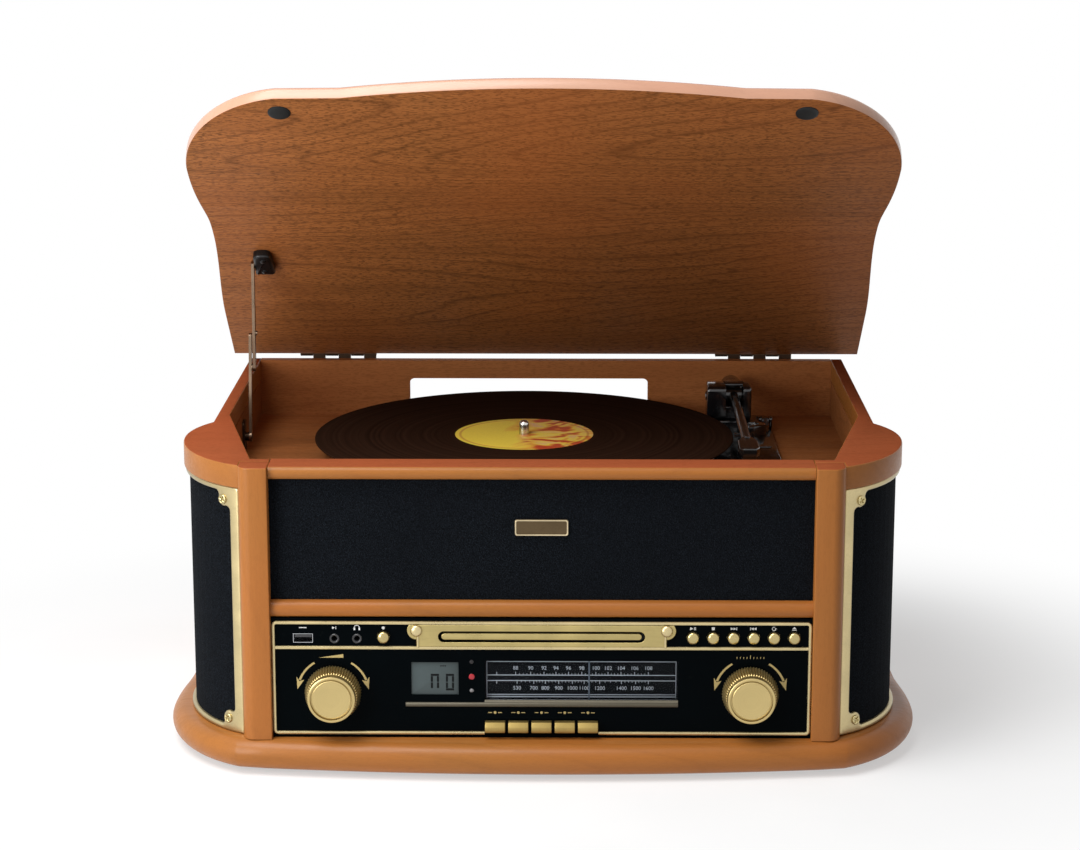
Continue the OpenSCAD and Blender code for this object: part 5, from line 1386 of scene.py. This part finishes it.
def arm_base_mesh(bm):
    """Plate of the arm with its block, rest, lever posts and screws."""
    x0, x1, y0, y1 = ARM_X - 20.5, ARM_X + 29, ARM_Y - ARM_L - 12, ARM_Y + 38
    z = DECK_Z + 3
    block(bm, "z", x0, x1, y0, y1, DECK_Z, z, 6, 0.0, 0.9)
    block(bm, "z", x0, ARM_X + 14, ARM_Y - 18, ARM_Y + 14, z, z + 8, 4, 0.0, 1.4)
    rest, cradle = ARM_Y - 112, ARM_Z - 3.9
    turned(bm, [(0, 0), (5.2, 0), (5.2, 0.8), (3.4, 2.0), (3.2, cradle - 3 - z),
                (0, cradle - 3 - z)], (ARM_X, rest, z), "z", 32)
    outline = [(ARM_X - 6, cradle - 3), (ARM_X + 8, cradle - 3), (ARM_X + 8, ARM_Z + 1),
               (ARM_X + 4.2, ARM_Z + 1), (ARM_X + 4.2, cradle), (ARM_X - 6, cradle)]
    prism(bm, [outline], "y", rest - 3, rest + 3, 0.4, 0.4, 2)
    for at in (CUE_X - 4, CUE_X + 4):
        block(bm, "x", CUE_Y - 4, CUE_Y + 4, z, CUE_Z + 3.4, at - 1, at + 1, 2.2, 0.2, 0.2, 2)
    turned(bm, [(0, 0), (9.9, 0), (9.9, 7.4), (9.6, 8.1), (9.0, 8.4), (4.4, 8.4), (4.0, 8.0),
                (3.6, 6.4), (0, 6.4)], (ARM_X + 13.2, ARM_Y - 28.9, z), "z", 56)
    for x, y in ((x0 + 7, y0 + 8), (x1 - 7, y0 + 8), (x1 - 7, y1 - 8), (x0 + 7, y1 - 8)):
        turned(bm, [(2.6, 0), (2.5, 0.5), (1.8, 0.9), (0, 1.0)], (x, y, z), "z", 24)


def yoke_mesh(bm):
    """Yoke that swings and holds the arm between two cheeks."""
    x, y, z, top = ARM_X, ARM_Y, DECK_Z + 11.3, ARM_Z + 9.3
    turned(bm, [(0, 0), (12, 0), (12, 2.2), (11.2, 3), (0, 3)], (x, y, z), "z", 56)
    block(bm, "x", y - 17, y + 9, z, top, x - 20.5, x - 6.5, 3.5, 1.6, 0.3)
    block(bm, "x", y - 17, y + 9, z, top, x + 6.5, x + 12.5, 3.5, 0.3, 1.6)
    block(bm, "x", y - 3, y + 9, ARM_Z + 6.8, top, x - 7.5, x + 7.5, 1.0)
    block(bm, "x", y - 14, y + 9, z, ARM_Z - 6, x - 7.5, x + 7.5, 1.0)
    for at, way in ((x - 20.5, -1), (x + 12.5, 1)):
        turned(bm, [(0, 0), (3.4, 0), (3.4, 0.5), (2.6, 0.9), (0, 0.9)], (at, y - 3, ARM_Z), "x",
               28, way)


def arm_mesh(bm):
    """Arm with its counterweight, headshell, cartridge and stylus."""
    x, y, z = ARM_X, ARM_Y, ARM_Z
    tip = y - ARM_L
    rod(bm, (x - 9.5, y, z), (x + 9.5, y, z), 2.0)
    rod(bm, (x - 6.2, y, z), (x + 6.2, y, z), 5.4, 32)
    rod(bm, (x, tip + 24, z), (x, y + 16, z), 3.6, 32)
    turned(bm, [(0, 0), (6.8, 0), (8.0, 1.2), (8.0, 8.4), (7.6, 8.8), (8.0, 9.2), (8.0, 20.8),
                (6.8, 22), (5.0, 22), (5.0, 25.4), (4.4, 26), (0, 26)], (x, y + 14, z), "y", 48)
    half = [(4.6, -10), (7, -6), (7, 16), (4.4, 26)]
    prism(bm, [[(x - half[0][0], tip - 10)] + [(x + p, tip + q) for p, q in half]
               + [(x - p, tip + q) for p, q in half[:0:-1]]], "z", z - 3, z + 3, 0.6, 1.2)
    block(bm, "z", x + 6, x + 16, tip + 2, tip + 6, z, z + 1.6, 1.6, 0.4, 0.4, 2)
    block(bm, "z", x - 5, x + 5, tip - 6, tip + 14, z - 7.4, z - 3, 1.0, 0.5)
    turned(bm, [(0, 0), (0.3, 0), (1.2, 3.8), (0, 3.8)], (x, tip, RECORD_Z + 0.4), "z", 16)


def cue_mesh(bm):
    """Lever that lifts the arm."""
    rod(bm, (CUE_X - 2.7, CUE_Y, CUE_Z), (CUE_X + 2.7, CUE_Y, CUE_Z), 2.0)
    outline = [(CUE_Y + y, CUE_Z + z) for y, z in
               ((0, -1), (0, 1.4), (-11.5, 1.4), (-13, 0.8), (-13, -0.4), (-12, -1))]
    prism(bm, [outline], "x", CUE_X - 1.5, CUE_X + 1.5, 0.5, 0.5, 2)


class CENTRE_OT_arm(bpy.types.Operator):
    """Make the arm with its base, its yoke and its lever"""
    bl_idname = "centre.arm"
    bl_label = "Arm"

    def execute(self, context):
        black = plastic("arm_black", srgb(15, 15, 17), 0.16, 0.5, 0.05, 0.3, 0.6)
        piece("arm_base", arm_base_mesh, "cabinet", black, ["tonearm_base"])
        piece("arm_cradle", yoke_mesh, "arm_yoke", black, ["tonearm_yoke"])
        piece("arm_tube", arm_mesh, "arm",
              plastic("arm_satin", srgb(20, 18, 17), 0.2, 0.5, 0.1, 0.3, 0.5), ["tonearm"])
        piece("lift_lever", cue_mesh, "cue",
              metal("lever_pale", srgb(96, 96, 98), 0.3, 0.7), ["cue_lever"])
        return {"FINISHED"}


# Lid fittings

def bumpers_mesh(bm):
    """The lid's two rubber bumpers, one in each front corner."""
    for x in (-174.0, 174.0):
        turned(bm, [(0, 0), (5.6, 0), (6.6, 0.2), (7.4, 0.7), (7.6, 1.4), (0, 1.4)],
               (x, HINGE_Y - 346, LID_Z - 1.4), "z", 48)


def bracket_mesh(bm):
    """Bracket on the lid for the stay's upper bar, with its two screws and its pin."""
    x0, wide, half, low = -210.3, 14.6, 13.3, LID_Z - 6.4
    x1 = x0 + wide
    cy, cz = HINGE_Y - 147.4, HINGE_Z - 4.5
    front, back = cy - 3.2 - half, cy - 3.2 + half
    outline = (arc(x0 + 5, front + 5, 5, 5, 180, 270, 8)
               + arc(x1 - 6, front + 4, 4, 4, 270, 340, 8)
               + arc(x1 - 3, back - 3, 3, 3, 0, 90, 6) + [(x0 + 0.4, back), (x0, back - 0.4)])
    prism(bm, [outline], "z", low, LID_Z, 2.2, 0.0, 5)
    for y in (cy - 10.5, cy + 4.5):
        turned(bm, [(2.3, 0), (2.2, 0.5), (1.6, 0.8), (0, 0.9)], (x0 + wide * 0.5, y, low), "z",
               28, -1)
    rod(bm, (-212.9, cy, cz), (x0 + 2, cy, cz), 2.0)


class CENTRE_OT_lid_fittings(bpy.types.Operator):
    """Make the lid's bumpers and the stay's bracket, and finish the stay and the hinges"""
    bl_idname = "centre.lid_fittings"
    bl_label = "Lid fittings"

    def execute(self, context):
        rubber = plastic("lid_rubber", srgb(26, 29, 30), 0.55, 0.3, 0.6)
        piece("lid_bumpers", bumpers_mesh, "lid", rubber, ["lid_fittings"],
              place=lid_place())
        piece("stay_bracket", bracket_mesh, "lid",
              plastic("bracket_black", srgb(15, 16, 17), 0.28, 0.4, 0.2), place=lid_place())
        steel = metal("stay_steel", srgb(128, 108, 90), 0.28, 1.0, brushed=(1800, 60, 60))
        dress(steel, "stay_upper_bar", "stay_lower_bar")
        dress(metal("hinge_bronze", srgb(70, 54, 42), 0.35, 0.9), "lid_hinge_leaves",
              "cabinet_lid_fittings")
        return {"FINISHED"}


# Stage

def floor_finish():
    """Pale floor that keeps the object's shadow and turns to plain white further off."""
    f = Finish("studio_floor")
    f.set(Base_Color=f.lay_tone((0.9,) * 3, f.noise(f.place(), 8.0, 2.0, 0.5), 1.0, 0.4, 0.6,
                             (0.93,) * 3), Roughness=0.9, Specular_IOR_Level=0.0)
    far = f.far(f.place(scale=(0.8, 1, 1)), "X", "Y")
    share = f.times(f.seen(), f.spread(far, 0.5, 1.0, 0.22, 0.5, "SMOOTHSTEP"))
    return f.surface(share, f.shader, f.add("Emission", {"Color": (1, 1, 1, 1),
                                                         "Strength": 1.0}))


class CENTRE_OT_stage(bpy.types.Operator):
    """Make the floor, the lamps, the white surroundings and the camera"""
    bl_idname = "centre.stage"
    bl_label = "Stage"

    def execute(self, context):
        scene, look = context.scene, context.scene.centre_stage
        mesh = bpy.data.meshes.new("studio_floor")
        bm = bmesh.new()
        bmesh.ops.create_grid(bm, x_segments=8, y_segments=8, size=look.floor / 2)
        bm.to_mesh(mesh)
        bm.free()
        mesh.materials.append(floor_finish())
        ground = bpy.data.objects.new("studio_floor", mesh)
        scene.collection.objects.link(ground)

        world = bpy.data.worlds.new("studio")
        scene.world = world
        world.use_nodes = True
        sky = Nodes(world.node_tree)
        back = sky.tree.nodes["Background"].inputs
        back["Color"].default_value = (1, 1, 1, 1)
        sky.put(back["Strength"], sky.spread(sky.seen(), look.fill, 1.0))

        def lamp(name, power, size, at, aim):
            light = bpy.data.lights.new(name, "AREA")
            light.energy = power
            light.shape = "RECTANGLE"
            light.size, light.size_y = size
            made = bpy.data.objects.new(name, light)
            made.location = at
            made.rotation_euler = (Vector(aim) - Vector(at)).to_track_quat("-Z", "Y").to_euler()
            made.visible_camera = False
            scene.collection.objects.link(made)
        lamp("key_lamp", look.key, (0.5, 0.6), (-0.78, -0.8, 0.38), (-0.45, 0, 0.22))
        lamp("top_lamp", look.top, (1.0, 1.0), (-0.55, -0.55, 1.5), (-0.05, -0.05, 0.15))

        view = bpy.data.cameras.new("studio_camera")
        view.sensor_width, view.lens = SENSOR, LENS
        camera = bpy.data.objects.new("studio_camera", view)
        camera.location = CAMERA_AT
        camera.rotation_euler = [math.radians(a) for a in CAMERA_TURN]
        scene.collection.objects.link(camera)
        scene.camera = camera
        scene.view_settings.view_transform = "Standard"
        return {"FINISHED"}


class CENTRE_PT_sidebar(bpy.types.Panel):
    """Lists the pieces of the music centre and their looks"""
    bl_idname = "CENTRE_PT_sidebar"
    bl_label = "Music Centre"
    bl_space_type = "VIEW_3D"
    bl_region_type = "UI"
    bl_category = "Music Centre"

    def draw(self, context):
        layout = self.layout
        for name, group in LOOKS.items():
            box = layout.box()
            box.label(text=group.__doc__.rstrip("."))
            values = getattr(context.scene, name)
            for key in group.__annotations__:
                box.prop(values, key)
        for maker in OPERATORS:
            layout.operator(maker.bl_idname)


OPERATORS = (CENTRE_OT_stage, CENTRE_OT_boards, CENTRE_OT_grilles, CENTRE_OT_panel,
             CENTRE_OT_disc_player, CENTRE_OT_dial, CENTRE_OT_knobs, CENTRE_OT_sockets,
             CENTRE_OT_turntable, CENTRE_OT_arm, CENTRE_OT_lid_fittings)


def register():
    """Makes the looks, the operators and the panel known."""
    for group in LOOKS.values():
        bpy.utils.register_class(group)
    for name, group in LOOKS.items():
        setattr(bpy.types.Scene, name, PointerProperty(type=group))
    for maker in OPERATORS + (CENTRE_PT_sidebar,):
        bpy.utils.register_class(maker)


def unregister():
    """Takes them all away again."""
    for maker in (CENTRE_PT_sidebar,) + OPERATORS[::-1]:
        bpy.utils.unregister_class(maker)
    for name, group in LOOKS.items():
        delattr(bpy.types.Scene, name)
        bpy.utils.unregister_class(group)


def main():
    """Makes the whole scene."""
    register()
    for maker in OPERATORS:
        group, name = maker.bl_idname.split(".")
        getattr(getattr(bpy.ops, group), name)()


if __name__ == "__main__":
    main()
